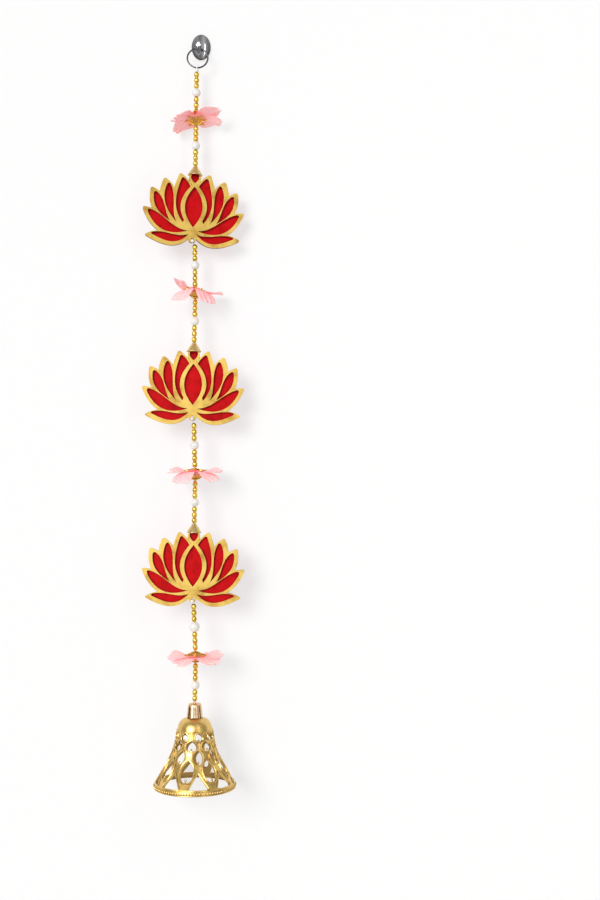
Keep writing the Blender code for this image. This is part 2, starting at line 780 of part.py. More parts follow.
def split_ring():
    """The ring that hangs on the arm. Returns the middle of its wire at the foot."""
    top = Vector((RING_X, RING_Y, ARM_ROUTE[2][1] + ARM_RADIUS + GAP + RING_WIRE))
    hang = line_turn(top, line_point(STRAND_TOP))
    foot = top + hang @ Vector((0.0, 0.0, -2 * RING_RADIUS))
    mesh = ring_mesh("ring", RING_RADIUS, RING_WIRE, RING_SIDES, RING_STEPS)
    mesh.transform(Matrix.LocRotScale((top + foot) / 2, hang, None))
    link("split_ring", mesh, CHROME)
    return foot


def thread(ring_foot, route):
    """The thread through the strand, its knot and its loop round the ring, as one solid."""
    line = tube("thread", route, THREAD_RADIUS, 1, NYLON)
    shape = bmesh.new()
    bmesh.ops.create_uvsphere(shape, u_segments=8, v_segments=6, radius=KNOT_RADIUS)
    bmesh.ops.translate(shape, verts=shape.verts, vec=line_point(STRAND_TOP + KNOT_DROP))
    knot = link("knot", finished(shape, "knot"), NYLON, TOOLS)
    mesh = ring_mesh("loop", LOOP_RADIUS, LOOP_WIRE, 6, 12)
    mesh.transform(Matrix.Translation(ring_foot) @ Matrix.Rotation(math.radians(90), 4, "Z"))
    loop = link("loop", mesh, NYLON, TOOLS)
    join(line, [knot, loop])


def strand():
    """Threads every piece on the line from the table and returns the thread's route."""
    plates = lotus_plates()
    counts = {"beads": 0, "pearl": 0, "flower": 0, "lotus": 0}
    height = STRAND_TOP
    route = [line_point(STRAND_TOP + KNOT_DROP)]
    for kind, length, beads in STRAND:
        counts[kind] += 1
        number = counts[kind]
        top = line_point(height)
        bottom = line_point(height - length)
        length = (top - bottom).length
        if kind == "beads":
            bead_run(f"bead_run_{number:02d}", length, beads, top, bottom)
        elif kind == "pearl":
            pearl(f"pearl_{number}", length, top, bottom)
        elif kind == "flower":
            flower(number, top, bottom)
        else:
            lotus(number, top, bottom, plates, route)
        route.append((bottom + line_point(bottom.z - GAP)) / 2)
        height = bottom.z - GAP
    return route


clear_scene()
PARTS = new_collection("Toran door hanging")
TOOLS = new_collection("Cutters")
CHROME = new_material("chrome", (0.62, 0.63, 0.65), 0.12, 1.0)
NYLON = new_material("white nylon", (0.9, 0.9, 0.88), 0.35, 0.0)
GOLD_BEAD = new_material("gold bead", (0.83, 0.6, 0.16), 0.2, 1.0)
PEARL = new_material("pearl", (0.92, 0.9, 0.87), 0.2, 0.0)
WHITE_BEAD = new_material("white bead", (0.93, 0.93, 0.92), 0.25, 0.0)
PINK_CLOTH = new_material("pink cloth", (0.95, 0.5, 0.53), 0.8, 0.0)
FILIGREE = new_material("gold filigree", (0.78, 0.5, 0.14), 0.3, 1.0)
SATIN_GOLD = new_material("satin gold", (0.86, 0.68, 0.36), 0.32, 1.0)
GOLD_FACE = new_material("gold face", (0.84, 0.62, 0.22), 0.35, 0.85)
RED_BACKING = new_material("red backing", (0.6, 0.004, 0.01), 0.7, 0.0)
BELL_GOLD = new_material("bell gold", (0.82, 0.66, 0.3), 0.3, 1.0)

wall_hook()
ring_foot = split_ring()
thread_route = strand()
bell(thread_route)
thread(ring_foot, thread_route)
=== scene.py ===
"""The looks of a toran door hanging: beads, cloth blossoms, lotus plates and a bell on a wall hook."""

import random
from math import atan2, cos, exp, hypot, pi, radians, sin, tau

import bmesh
import bpy
from bpy.props import FloatProperty, FloatVectorProperty, IntProperty, PointerProperty
from bpy.types import Operator, Panel, PropertyGroup
from mathutils import Euler, Matrix, Vector
from mathutils.geometry import delaunay_2d_cdt, interpolate_bezier


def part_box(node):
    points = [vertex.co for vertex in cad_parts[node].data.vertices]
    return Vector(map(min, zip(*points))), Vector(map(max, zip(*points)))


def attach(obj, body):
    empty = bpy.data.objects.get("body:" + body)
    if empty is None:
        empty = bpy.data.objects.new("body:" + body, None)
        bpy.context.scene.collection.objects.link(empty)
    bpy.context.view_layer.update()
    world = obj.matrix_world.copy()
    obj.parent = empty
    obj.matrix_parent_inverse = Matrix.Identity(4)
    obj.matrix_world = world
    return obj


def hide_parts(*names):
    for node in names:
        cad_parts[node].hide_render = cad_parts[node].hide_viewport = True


bl_info = {
    "name": "Toran door hanging",
    "version": (1, 0, 0),
    "blender": (4, 5, 0),
    "location": "View3D > Sidebar > Toran",
    "description": "Makes the pieces and finishes of a beaded toran door hanging",
    "category": "Add Mesh",
}

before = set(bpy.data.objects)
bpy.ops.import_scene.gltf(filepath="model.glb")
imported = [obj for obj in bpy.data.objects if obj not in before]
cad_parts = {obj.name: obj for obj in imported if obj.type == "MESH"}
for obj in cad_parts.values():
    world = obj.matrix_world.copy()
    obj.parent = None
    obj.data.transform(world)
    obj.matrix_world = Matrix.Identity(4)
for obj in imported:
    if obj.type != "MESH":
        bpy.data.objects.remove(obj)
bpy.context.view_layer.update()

# Lengths in the tables are millimetres
MM = 0.001
GAP = 0.3
WELD = 0.0001
SEAM_WELD = 0.004
UPRIGHT = Matrix.Rotation(radians(90), 4, "X")

# The line that the strand hangs along, from the hook out to the bell's axis
STRAND_LINE = (
    # z, x, distance from the wall
    (-20.0, -2.6, 13.4), (-30.0, -3.4, 16.2), (-125.0, -4.2, 20.4), (-205.0, -4.7, 23.6),
    (-257.0, -4.0, 26.0), (-305.0, -5.0, 28.0), (-385.0, -5.0, 31.3), (-440.0, -3.5, 33.7),
    (-485.0, -4.3, 35.6), (-565.0, -4.7, 38.9), (-618.0, -2.4, 41.3), (-661.0, -3.2, 43.2),
    (-760.0, -3.2, 43.2),
)
BEAD_RUNS = 16
PEARLS = 8
BLOSSOMS = 4
LOTUSES = 3
BEAD_PITCH = 5.8
PEARL_LENGTH = 7.8

# Wall hook
PLATE_WIDTH = 19.4
PLATE_HEIGHT = 26.0
PLATE_PROFILE = (
    # share of the half height, distance from the wall
    (1.0, 0.0), (1.0, 0.7), (0.985, 1.2), (0.94, 1.7), (0.86, 2.7), (0.74, 3.7), (0.58, 4.6),
    (0.38, 5.2), (0.18, 5.52), (0.0, 5.6),
)
ARM_X = -1.6
ARM_ROUTE = (
    # distance from the wall, z, half width
    (2.4, -8.0, 2.9), (6.0, -8.5, 2.7), (10.5, -8.6, 2.6), (13.6, -8.5, 2.6), (15.6, -7.4, 2.7),
    (16.6, -5.4, 2.9), (16.9, -3.2, 3.1),
)
ARM_HALF_THICKNESS = 2.0
ARM_SIDES = 20
ARM_TIP_ROUND = 0.9

# Ring and knot
RING_RADIUS = 10.1
RING_SPREAD = 0.25
RING_WIRE = 0.85
RING_TOP = (-2.2, -11.6, -4.75)
RING_DEPTH = 1.9
RING_CLOSENESS = 0.96
RING_STEPS = 128
RING_START = 118.0
RING_OPENING = 20.0
KNOT_WIRE = 0.42
KNOT_WRAPS = (
    # height over the knot's middle, radius, tilt in degrees
    (1.05, 1.05, 12.0), (0.35, 1.353, 3.0), (-0.35, 1.353, -6.0), (-1.05, 1.05, -15.0),
)
KNOT_LEAN = 0.16
LOOP_STRETCH = 1.12
RING_LOOPS = (
    # turn in degrees, radius
    (-9.0, 1.62), (8.0, 1.72),
)
STRAND_TOP = -29.6
KNOT_DROP = 1.7

# Cone cap over a lotus plate's top
CONE_PROFILE = (
    # radius, drop from its top
    (1.9, 0.0), (2.4, 0.3), (2.6, 1.1), (3.4, 2.3), (4.8, 4.0), (5.9, 5.8), (6.6, 7.4), (7.1, 8.2),
    (7.35, 8.7), (7.3, 9.0),
)
CONE_WALL = 0.6
CONE_HEIGHT = 9.0

# Lotus plates: right half, from the hub up and out
LOTUS_PETALS = (
    # root, tip of the opening, bulges of its outer and of its inner side, gold tip, gold band's extra bulge
    ((3.9, -7.0), (42.9, -8.4), (13.5, 6.0), (5.6, -4.8), (48.2, -10.6), 0.0),
    ((4.9, -3.6), (47.2, 16.2), (14.5, 13.8), (7.5, -5.0), (51.6, 17.8), 0.0),
    ((23.2, 5.2), (40.0, 35.0), (6.5, 9.0), (1.5, -7.0), (43.6, 38.4), 2.0),
    ((16.6, 4.3), (26.2, 45.2), (7.8, 11.1), (4.7, -6.6), (30.6, 48.9), 5.5),
    ((10.2, 4.2), (13.0, 51.2), (11.3, 5.0), (-6.0, -18.0), (15.2, 55.0), 0.0),
)
LOTUS_BAND = 3.6
LOTUS_ROOT_REACH = 4.5
LOTUS_CENTRE_TIP = 41.2
LOTUS_CENTRE_BULGE = 11.9
LOTUS_CENTRE_BAND = 4.2
LOTUS_DROP = (44.4, 56.2, 4.0, 7.0)
LOTUS_NECK = (40.6, 58.3, 7.5, 8.8)
LOTUS_HUB = (-13.0, 9.0, 10.5, 10.5)
LOTUS_FAN = (-8.0, 18.0, 28.0, 28.0)
LOTUS_HOLE_Z = -11.9
LOTUS_HOLE_RADIUS = 1.3
LOTUS_LUG_RADIUS = 3.8
LOTUS_RIM_Z = 53.5
LOTUS_FACE = 3.0
LOTUS_BACKING = 1.8
LOTUS_SHIFT = 0.8
LOTUS_STEPS = 26
LOTUS_EASE = 0.7
LOTUS_OPEN_ROUND = 2.6
LOTUS_TIP_ROUND = 1.7
CORNER_PULL = 0.62
LOTUS_BACK_SCALE = 0.98
LOTUS_EDGE = 0.28
LOTUS_TURNS = (
    # roll as seen from the front (right side down), yaw (left side forward), degrees
    (2.2, 9.0), (1.2, 3.0), (0.8, 1.0),
)
SEED_RADIUS = 1.75
SEED_HEIGHT = 2.5
SEED_DROP = 0.9

# Cloth blossoms
PETAL_BASE = 1.5
PETAL_WIDTHS = (
    # share of the reach, half width
    (0.0, 3.6), (0.25, 8.2), (0.48, 11.6), (0.72, 13.2), (0.9, 12.2), (1.0, 10.4),
)
PETAL_NOTCHES = (
    # depth, place across the petal, width
    (4.2, 0.04, 0.11), (2.2, -0.5, 0.09), (2.0, 0.52, 0.09),
)
PETAL_CORNER = 4.0
PETAL_FREE = 0.34
PETAL_SWAY = 1.2
PETAL_ACROSS = 34
PETAL_ALONG = 24
CLOTH_HEART = 9.2
HEART_DIPS = (2.6, -1.9)
CLOTH_THICK = 0.28
BLOSSOM_ROWS = (
    # roll, pitch in degrees, drop of the cloth below the beads, depth of the upper cap, of the lower cap,
    # and each petal's (direction, reach, lift at the tip, twist in degrees)
    (-4.0, -22.0, 3.9, 1.2, 5.3,
     ((30, 26, 0, -20), (90, 24, 8, 6), (150, 27, -6, 26), (205, 26, -8, 20), (335, 27, 0, -22))),
    (6.0, -9.0, 4.6, 1.4, 4.6,
     ((16, 27, 4, -24), (90, 25, 4, 6), (160, 27, 23, 36), (222, 27, -27, 36), (322, 26, -25, -32))),
    (1.0, -3.0, 5.0, 1.6, 3.8,
     ((14, 27, 4, -18), (90, 25, 3, 6), (168, 27, 2, 26), (226, 26, -17, 18), (332, 26, -11, -22))),
    (0.5, 2.0, 6.6, 3.4, 2.0,
     ((12, 27, 2, -16), (90, 25, -1, 6), (172, 27, 1, 16), (222, 26, -5, 14), (326, 26, -5, -14))),
)
PETAL_FOLD = 1.4
PETAL_SLACK = 1.05
WALL_CLEAR = 1.5

# Filigree bead caps
CAP_SHAPE = (
    # radius, share of the depth
    (1.2, 0.0), (3.0, 0.15), (5.0, 0.5), (6.8, 0.8), (8.6, 0.96), (11.2, 1.0),
)
CAP_LEAVES = 8
CAP_MARGIN = 1.3
CAP_THICK = 0.55
CAP_BORE = 1.2
CAP_COLLAR = 3.4
CAP_LEAF_FORMS = (
    # what it is, root, tip, bulge
    ("metal", 1.5, 10.9, 2.4), ("open", 3.8, 9.2, 1.1),
)
CAP_RINGS = (2.0, 3.0, 5.0, 6.8, 8.6, 9.8)
CAP_RIB = (
    # radius, height over the leaf
    (2.2, 0.25), (4.0, 0.3), (6.0, 0.3), (8.0, 0.3), (9.6, 0.3),
)
CAP_RIB_WIRE = 0.45
CAP_TIP = (10.5, 0.75)
CAP_NECK = ((1.2, 0.9), (1.9, 0.9), (2.5, 0.5), (3.3, -0.2), (1.2, -0.2))

# Bell
BELL_TOP = -675.8
BELL_HOLE = 1.0
BELL_WALL = 1.9
BELL_PROFILE = (
    # radius, drop from the dome's top
    (BELL_HOLE, 0.0), (8.2, 0.35), (12.0, 1.7), (14.6, 4.1), (16.3, 7.3), (17.2, 11.0), (18.4, 20.0),
    (21.6, 32.4), (26.2, 42.5), (37.6, 62.3), (40.0, 66.0), (40.0, 69.2),
)
BELL_COLUMNS = 8
BELL_SIDES = 72
BELL_OPENINGS = (
    # form, middle drop, half width, half height, turn in degrees, bud
    ("egg", 16.6, 3.9, 4.2, 17.0, 0.75),
    ("egg", 24.9, 5.6, 5.0, -5.0, 0.95),
    ("egg", 35.2, 4.9, 6.6, 12.0, 1.05),
    ("egg", 47.6, 6.6, 9.6, -11.0, 1.3),
    ("tent", 56.8, 9.4, 6.6, 10.0, 0.0),
)
TRACERY_RADIUS = 0.85
TRACERY_SPREAD = 1.12
BELL_RIDGES = (
    # drop, wire, distance out
    (12.2, 0.75, 0.0), (64.7, 0.6, 0.1), (68.7, 0.7, -0.1),
)
BELL_BEADS = (
    # count, drop, radius, distance out
    (96, 66.8, 1.05, 0.3), (32, 13.6, 0.7, 0.0),
)
BELL_LIP = (40.2, 67.5)
CROWN_HEIGHT = 14.0
CROWN_PROFILE = (
    # radius, drop from its top
    (BELL_HOLE, 0.0), (3.6, 0.05), (5.6, 0.7), (6.6, 1.9), (7.0, 4.4), (7.6, 9.4), (8.2, 14.0),
)
CROWN_WALL = 1.4
CROWN_SLOTS = 4
CROWN_SLOT_TOP = 3.0
CROWN_SLOT_HALF = 2.4 / 2 / 7.4
CROWN_FLUTE = 0.035

# Tones along ramps: position, colour
WHITE = (1.0, 1.0, 1.0)
# Painted reflections on the chrome plate: a bright stripe and darker bands across it
CHROME_PAINTED_REFLECTION_BANDS = (
    (0.04, (0.3, 0.305, 0.31)), (0.3, (0.62, 0.62, 0.63)), (0.46, (0.38, 0.385, 0.39)),
    (0.66, (0.95, 0.95, 0.95)), (0.8, (0.5, 0.505, 0.51)),
)
# Painted dark rim of the chrome plate: a painted reflection of dark surroundings
CHROME_PAINTED_DARK_RIM = ((0.0, WHITE), (0.8, (0.9, 0.9, 0.9)), (1.0, (0.16, 0.165, 0.17)))
PEARL_CAST = ((0.3, (0.7, 0.69, 0.66)), (0.52, (0.79, 0.77, 0.73)), (0.72, (0.82, 0.77, 0.69)))
CHAR_TONES = ((0.3, (0.02, 0.009, 0.004)), (0.55, (0.12, 0.05, 0.016)), (0.75, (0.4, 0.22, 0.06)))

# Stage
CAMERA_PLACE = (0.101, -1.39, -0.4113)
CAMERA_LENS = 54.4
FLOOR_Z = -1.35
FLOOR_SIZE = 1.3
FLOOR_COLOUR = (0.86, 0.855, 0.85)
WALL_MIDDLE = (0.101, 0.0012, -0.41)
WALL_SIZE = 0.75
KEY_HEADING = (0.45, 1.0, -0.34)
KEY_SPREAD = 26.0
KEY_COLOUR = (1.0, 0.985, 0.965)
CARDS = (
    # name, place, aim, width, height, share of the card's power
    ("card", (-0.95, -1.5, -0.2), (0.0, 0.0, -0.42), 0.8, 0.8, 1.0),
    ("strip", (0.6, -1.0, -0.2), (0.0, 0.0, -0.3), 0.25, 1.5, 0.6),
)
CARD_COLOUR = (1.0, 0.99, 0.97)
SKY_COLOUR = (0.97, 0.98, 1.0)


def socket_name(key):
    """The shader's own name of a socket, from a Python name."""
    return key.replace("_", " ").title().replace("Ior", "IOR")


class Wire:
    """A shader socket that takes part in sums: an expression on wires adds its Math nodes."""

    def __init__(self, finish, socket):
        self.finish = finish
        self.socket = socket

    def math(self, operation, first, second):
        return self.finish.node("ShaderNodeMath", {"operation": operation}, {0: first, 1: second})

    def __add__(self, other):
        return self.math("ADD", self, other)

    def __sub__(self, other):
        return self.math("SUBTRACT", self, other)

    def __mul__(self, other):
        return self.math("MULTIPLY", self, other)

    __radd__ = __add__
    __rmul__ = __mul__


class Finish:
    """A material on a Principled shader, with short words for its nodes."""

    def __init__(self, name, **constants):
        self.material = bpy.data.materials.new(name)
        self.material.use_nodes = True
        self.tree = self.material.node_tree
        self.shader = self.tree.nodes["Principled BSDF"]
        for key, value in constants.items():
            self.shader.inputs[socket_name(key)].default_value = value

    def node(self, kind, settings, inputs, output=0):
        """Adds any node with its settings and inputs, and gives one of its outputs."""
        made = self.tree.nodes.new(kind)
        for key, value in settings.items():
            if key == "stops":
                ramp = made.color_ramp.elements
                while len(ramp) < len(value):
                    ramp.new(1.0)
                for element, (position, colour) in zip(ramp, value):
                    element.position = position
                    element.color = (*colour, 1.0)
            else:
                setattr(made, key, value)
        for key, value in inputs.items():
            if isinstance(value, Wire):
                self.tree.links.new(value.socket, made.inputs[key])
            else:
                made.inputs[key].default_value = value
        return Wire(self, made.outputs[output])

    def place(self, stretch=(1.0, 1.0, 1.0), uv=None):
        """Where a point lies on its piece, or in one of its maps."""
        if uv:
            spot = self.node("ShaderNodeUVMap", {"uv_map": uv}, {})
        else:
            spot = self.node("ShaderNodeTexCoord", {}, {}, "Object")
        return self.node("ShaderNodeMapping", {}, {"Vector": spot, "Scale": stretch})

    def wave(self, where, scale, direction, bend):
        """Soft stripes, such as threads of a weave."""
        values = {"Vector": where, "Scale": scale, "Distortion": bend, "Detail": 1.0}
        return self.node("ShaderNodeTexWave", {"bands_direction": direction}, values)

    def noise(self, where, size, detail, roughness=0.55):
        """Smooth noise whose lumps are about the given size in metres, or in parts of a map."""
        values = {"Vector": where, "Scale": 1.0 / size, "Detail": detail, "Roughness": roughness}
        return self.node("ShaderNodeTexNoise", {}, values)

    def ramp(self, value, *stops):
        """A colour that changes along a value."""
        return self.node("ShaderNodeValToRGB", {"stops": stops}, {"Fac": value})

    def shaded(self, colour, shade):
        """A colour darkened by a shade."""
        settings = {"data_type": "RGBA", "blend_type": "MULTIPLY"}
        return self.node("ShaderNodeMix", settings, {0: 1.0, 6: colour, 7: shade}, 2)

    def bump(self, height, depth, strength=1.0, under=None):
        """A relief of a given depth, over another one if there is one."""
        values = {"Height": height, "Distance": depth, "Strength": strength}
        if under is not None:
            values["Normal"] = under
        return self.node("ShaderNodeBump", {}, values)

    def feed(self, **wires):
        """Joins wires to the shader and gives the finished material."""
        for key, wire in wires.items():
            self.tree.links.new(wire.socket, self.shader.inputs[socket_name(key)])
        return self.material


def dyed(colour, *shares):
    """A colour with its channels taken at one share, or each at its own."""
    return tuple(min(1.0, channel * share) for channel, share in zip(colour, shares * 3))


def chrome_finish():
    """Polished chrome with faint smudges and pits, and painted reflections: a bright stripe and darker
    bands across the plate, and a painted dark rim that stands for dark surroundings seen at grazing angles.
    """
    finish = Finish("chrome", metallic=1.0)
    spot = finish.place()
    smudge = finish.noise(spot, 0.006, 4.0)
    pits = finish.noise(spot, 0.0006, 2.0)
    half = PLATE_HEIGHT * MM / 2
    oval = finish.place((PLATE_HEIGHT / PLATE_WIDTH / half, 0.0, 1.0 / half))
    span = finish.node("ShaderNodeVectorMath", {"operation": "LENGTH"}, {0: oval}, 1)
    across = finish.node("ShaderNodeSeparateXYZ", {}, {"Vector": oval})
    # Painted reflection: bright and dark bands across the plate, and a painted dark rim
    painted_reflection_bands = finish.ramp(across * 0.5 + 0.5, *CHROME_PAINTED_REFLECTION_BANDS)
    painted_dark_rim = finish.ramp(span + smudge * 0.1, *CHROME_PAINTED_DARK_RIM)
    colour = finish.shaded(painted_reflection_bands, painted_dark_rim)
    dents = finish.bump(pits, 0.00002, 0.4)
    return finish.feed(base_color=colour, roughness=smudge * 0.16 + 0.05, normal=dents)


def nylon_finish():
    """White twisted nylon."""
    finish = Finish("nylon", coat_weight=0.2)
    twist = finish.wave(finish.place(), 700.0, "DIAGONAL", 1.0)
    colour = finish.ramp(twist, (0.0, (0.76, 0.75, 0.72)), (1.0, (0.95, 0.95, 0.93)))
    return finish.feed(base_color=colour, roughness=twist * 0.2 + 0.3, normal=finish.bump(twist, 0.0001))


def mottled_finish(name, patch, grain, relief, dullness, stops, **constants):
    """A colour and a dullness that change in soft patches, over a fine grain."""
    finish = Finish(name, **constants)
    spot = finish.place()
    patches = finish.noise(spot, patch, 4.0)
    fine = finish.noise(spot, *grain)
    return finish.feed(
        base_color=finish.ramp(patches, *stops),
        roughness=patches * 0.2 + dullness,
        normal=finish.bump(fine, relief, 0.5),
    )


def bead_finish(colour):
    """Metallised gold, brown where the plating is thin."""
    stops = ((0.3, dyed(colour, 0.62, 0.52, 0.4)), (0.5, tuple(colour)), (0.72, dyed(colour, 1.1)))
    return mottled_finish(
        "gold_bead", 0.0035, (0.0005, 2.0), 0.00003, 0.08, stops, metallic=1.0, coat_weight=0.35)


def red_finish(colour):
    """Satin red lacquer with faint mottling."""
    stops = ((0.3, dyed(colour, 0.72)), (0.5, tuple(colour)), (0.75, dyed(colour, 1.15, 2.33, 2.0)))
    return mottled_finish(
        "red_lacquer", 0.009, (0.0007, 3.0), 0.00005, 0.34, stops, specular_ior_level=0.08)


def pearl_finish():
    """Pearl lustre: soft white with a warm and a cool cast."""
    finish = Finish("pearl", coat_weight=0.9, subsurface_weight=0.08)
    spot = finish.place()
    cast = finish.noise(spot, 0.004, 2.0)
    swirl = finish.noise(spot, 0.0012, 3.0)
    colour = finish.ramp(cast, *PEARL_CAST)
    waves = finish.bump(swirl, 0.00002, 0.5)
    return finish.feed(base_color=colour, roughness=swirl * 0.16 + 0.16, normal=waves)


def white_bead_finish():
    """White glass."""
    finish = Finish("white_bead", coat_weight=0.8)
    cloud = finish.noise(finish.place(), 0.0015, 2.0)
    colour = finish.ramp(cloud, (0.3, (0.74, 0.74, 0.73)), (0.7, (0.86, 0.86, 0.85)))
    return finish.feed(base_color=colour, roughness=cloud * 0.2 + 0.1)


def cloth_finish(edge, heart):
    """Sheer woven cloth, deeper pink at the heart, with creases that run out along the petals, painted
    shade in the creases' valleys and a faint painted pink glow.
    """
    # The pink emission is a painted glow that lifts the cloth's shadows
    finish = Finish(
        "pink_cloth", sheen_weight=0.2, specular_ior_level=0.2, subsurface_weight=0.4,
        subsurface_scale=0.0015, emission_color=(1.0, 0.36, 0.36, 1.0), emission_strength=0.16)
    petal = finish.place(uv="petal")
    reach = finish.node("ShaderNodeSeparateXYZ", {}, {"Vector": petal}, 1)
    crease_relief_and_shade = finish.noise(finish.place((1.0, 0.12, 1.0), "petal"), 0.07, 4.0)
    blush = finish.noise(petal, 0.35, 3.0)
    cut = finish.place(uv="cut")
    weave = (finish.wave(cut, 34.0, "X", 0.25) + finish.wave(cut, 34.0, "Y", 0.25)) * 0.5
    middle = tuple(0.35 * deep + 0.65 * pale for deep, pale in zip(heart, edge))
    stops = ((0.1, tuple(heart)), (0.5, middle), (0.95, tuple(edge)))
    colour = finish.ramp(reach + (blush - 0.5) * 0.5, *stops)
    # The creases' valleys are darkened as painted shade; the weave's darker threads are its own pattern
    for pattern, start, shade in ((crease_relief_and_shade, 0.3, (0.95, 0.88, 0.88)), (weave, 0.15, (0.97, 0.94, 0.94))):
        colour = finish.shaded(colour, finish.ramp(pattern, (start, shade), (0.6, WHITE)))
    return finish.feed(
        base_color=colour,
        roughness=weave * 0.15 + 0.62,
        alpha=weave * 0.1 + 0.86,
        normal=finish.bump(weave, 0.00006, 0.6, finish.bump(crease_relief_and_shade, 0.0007, 0.7)),
    )


def gold_metal_finish(name, deep, bright, rough, lump):
    """Plated metal with a fine cast grain, darker in its hollows by painted shade found by ambient
    occlusion.
    """
    finish = Finish(name, metallic=1.0, coat_weight=0.15)
    spot = finish.place()
    patches = finish.noise(spot, lump, 4.0)
    grain = finish.noise(spot, 0.0006, 3.0)
    settings = {"samples": 8, "only_local": True}
    # Painted shade: the base colour darkens where ambient occlusion finds hollows
    painted_shade_mask = finish.node("ShaderNodeAmbientOcclusion", settings, {"Distance": 0.003}, 1)
    tone = finish.ramp(patches, (0.3, dyed(bright, 0.8)), (0.7, tuple(bright)))
    hollow = finish.ramp(painted_shade_mask, (0.25, deep), (0.75, WHITE))
    return finish.feed(
        base_color=finish.shaded(tone, hollow),
        roughness=patches * 0.22 + rough,
        normal=finish.bump(grain, 0.00005, 0.5),
    )


def lotus_gold_finish(colour):
    """Metallic gold paint on smooth board: fine flake, faint brush marks and cloudy patches."""
    finish = Finish("lotus_gold", coat_weight=0.12)
    spot = finish.place()
    cloud = finish.noise(spot, 0.014, 4.0)
    flake = finish.noise(spot, 0.00045, 2.0, 0.7)
    brush = finish.noise(finish.place((1.0, 1.0, 0.12)), 0.0012, 3.0)
    deep = dyed(colour, 0.62, 0.5, 0.35)
    bright = dyed(colour, 1.08, 1.14, 1.3)
    tone = finish.ramp(cloud * 0.62 + flake * 0.38, (0.36, deep), (0.5, tuple(colour)), (0.64, bright))
    return finish.feed(
        base_color=tone,
        metallic=flake * 0.3 + 0.36,
        roughness=cloud * 0.2 + brush * 0.1 + 0.22,
        normal=finish.bump(brush, 0.00005, 0.35, finish.bump(flake, 0.00004, 0.6)),
    )


def burnt_edge_finish():
    """Board charred by the cut, with a little gold blown over it."""
    finish = Finish("burnt_edge")
    char = finish.noise(finish.place(), 0.0016, 4.0)
    layers = finish.noise(finish.place((0.2, 3.0, 0.2)), 0.0012, 2.0)
    colour = finish.ramp(char * 0.6 + layers * 0.4, *CHAR_TONES)
    grooves = finish.bump(layers, 0.0001, 0.6)
    return finish.feed(base_color=colour, roughness=char * 0.3 + 0.5, normal=grooves)


def stage_finish(name, colour, glow, one_sided):
    """A plain pale surface with a little light of its own, clear from behind if it is one-sided."""
    finish = Finish(name, roughness=0.9, emission_color=(1.0, 0.995, 0.995, 1.0), emission_strength=glow)
    fleck = finish.noise(finish.place(), 0.01, 2.0)
    tone = finish.ramp(fleck, (0.3, dyed(colour, 0.985)), (0.7, tuple(colour)))
    material = finish.feed(base_color=tone)
    if one_sided:
        tree = finish.tree
        back = finish.node("ShaderNodeNewGeometry", {}, {}, "Backfacing")
        clear = tree.nodes.new("ShaderNodeBsdfTransparent")
        mixed = tree.nodes.new("ShaderNodeMixShader")
        tree.links.new(back.socket, mixed.inputs[0])
        tree.links.new(finish.shader.outputs[0], mixed.inputs[1])
        tree.links.new(clear.outputs[0], mixed.inputs[2])
        tree.links.new(mixed.outputs[0], tree.nodes["Material Output"].inputs["Surface"])
    return material


def between(rows, value, column=0, smooth=False):
    """A table's row at a value of a rising column, on straight or smooth steps between its rows."""
    for upper, lower in zip(rows, rows[1:]):
        if value <= lower[column]:
            break
    share = (value - upper[column]) / (lower[column] - upper[column])
    if smooth:
        share *= share * (3.0 - 2.0 * share)
    return [start + (end - start) * share for start, end in zip(upper, lower)]


def line_point(height):
    """The point of the strand's line at a height, in millimetres."""
    _, x, distance = between(STRAND_LINE[::-1], height)
    return Vector((x, -distance, height))


def line_turn(top, bottom):
    """The rotation that lays local Z along the strand between two points."""
    return Vector((0.0, 0.0, 1.0)).rotation_difference(top - bottom)


def ends(node):
    """The points of the strand's line at a node's top and bottom, in millimetres."""
    low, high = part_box(node)
    return line_point(high.z / MM), line_point(low.z / MM)


def placed(top, bottom, turn=None):
    """The matrix that sets a shape on the strand, its local origin at the upper point."""
    rotation = line_turn(top, bottom)
    if turn is not None:
        rotation = rotation @ turn.to_quaternion()
    return Matrix.LocRotScale(top, rotation, None)


def normals_out(shape):
    """Turns all faces outward."""
    bmesh.ops.recalc_face_normals(shape, faces=shape.faces)


def move(shape, matrix):
    """Moves a whole bmesh through a matrix."""
    bmesh.ops.transform(shape, matrix=matrix, verts=shape.verts)


def lowered(drop):
    """The matrix that lowers a shape."""
    return Matrix.Translation((0.0, 0.0, -drop))


def eased(shape, edges, width, segments):
    """Rounds edges over."""
    bmesh.ops.bevel(
        shape, geom=edges, offset=width, offset_type="OFFSET", segments=segments, profile=0.5,
        affect="EDGES", clamp_overlap=True, material=-1)


def spun(profile, steps, closed=False):
    """A profile of (radius, z) points turned about Z."""
    shape = bmesh.new()
    points = [shape.verts.new((radius, 0.0, z)) for radius, z in profile]
    pairs = list(zip(points, points[1:]))
    if closed:
        pairs.append((points[-1], points[0]))
    edges = [shape.edges.new(pair) for pair in pairs]
    bmesh.ops.spin(
        shape, geom=points + edges, cent=(0.0, 0.0, 0.0), axis=(0.0, 0.0, 1.0), angle=tau, steps=steps,
        use_merge=True)
    bmesh.ops.remove_doubles(shape, verts=shape.verts, dist=WELD)
    normals_out(shape)
    return shape


def shown(name, data):
    """A new object in the scene."""
    item = bpy.data.objects.new(name, data)
    bpy.context.scene.collection.objects.link(item)
    return item


def mesh_from(name, shape, *materials):
    """A mesh that takes over a bmesh."""
    mesh = bpy.data.meshes.new(name)
    shape.to_mesh(mesh)
    shape.free()
    for material in materials:
        mesh.materials.append(material)
    return mesh


def absorb(target, source, matrix=None):
    """Moves one bmesh into another, through a matrix."""
    mesh = mesh_from("part", source)
    if matrix is not None:
        mesh.transform(matrix)
    target.from_mesh(mesh)
    bpy.data.meshes.remove(mesh)


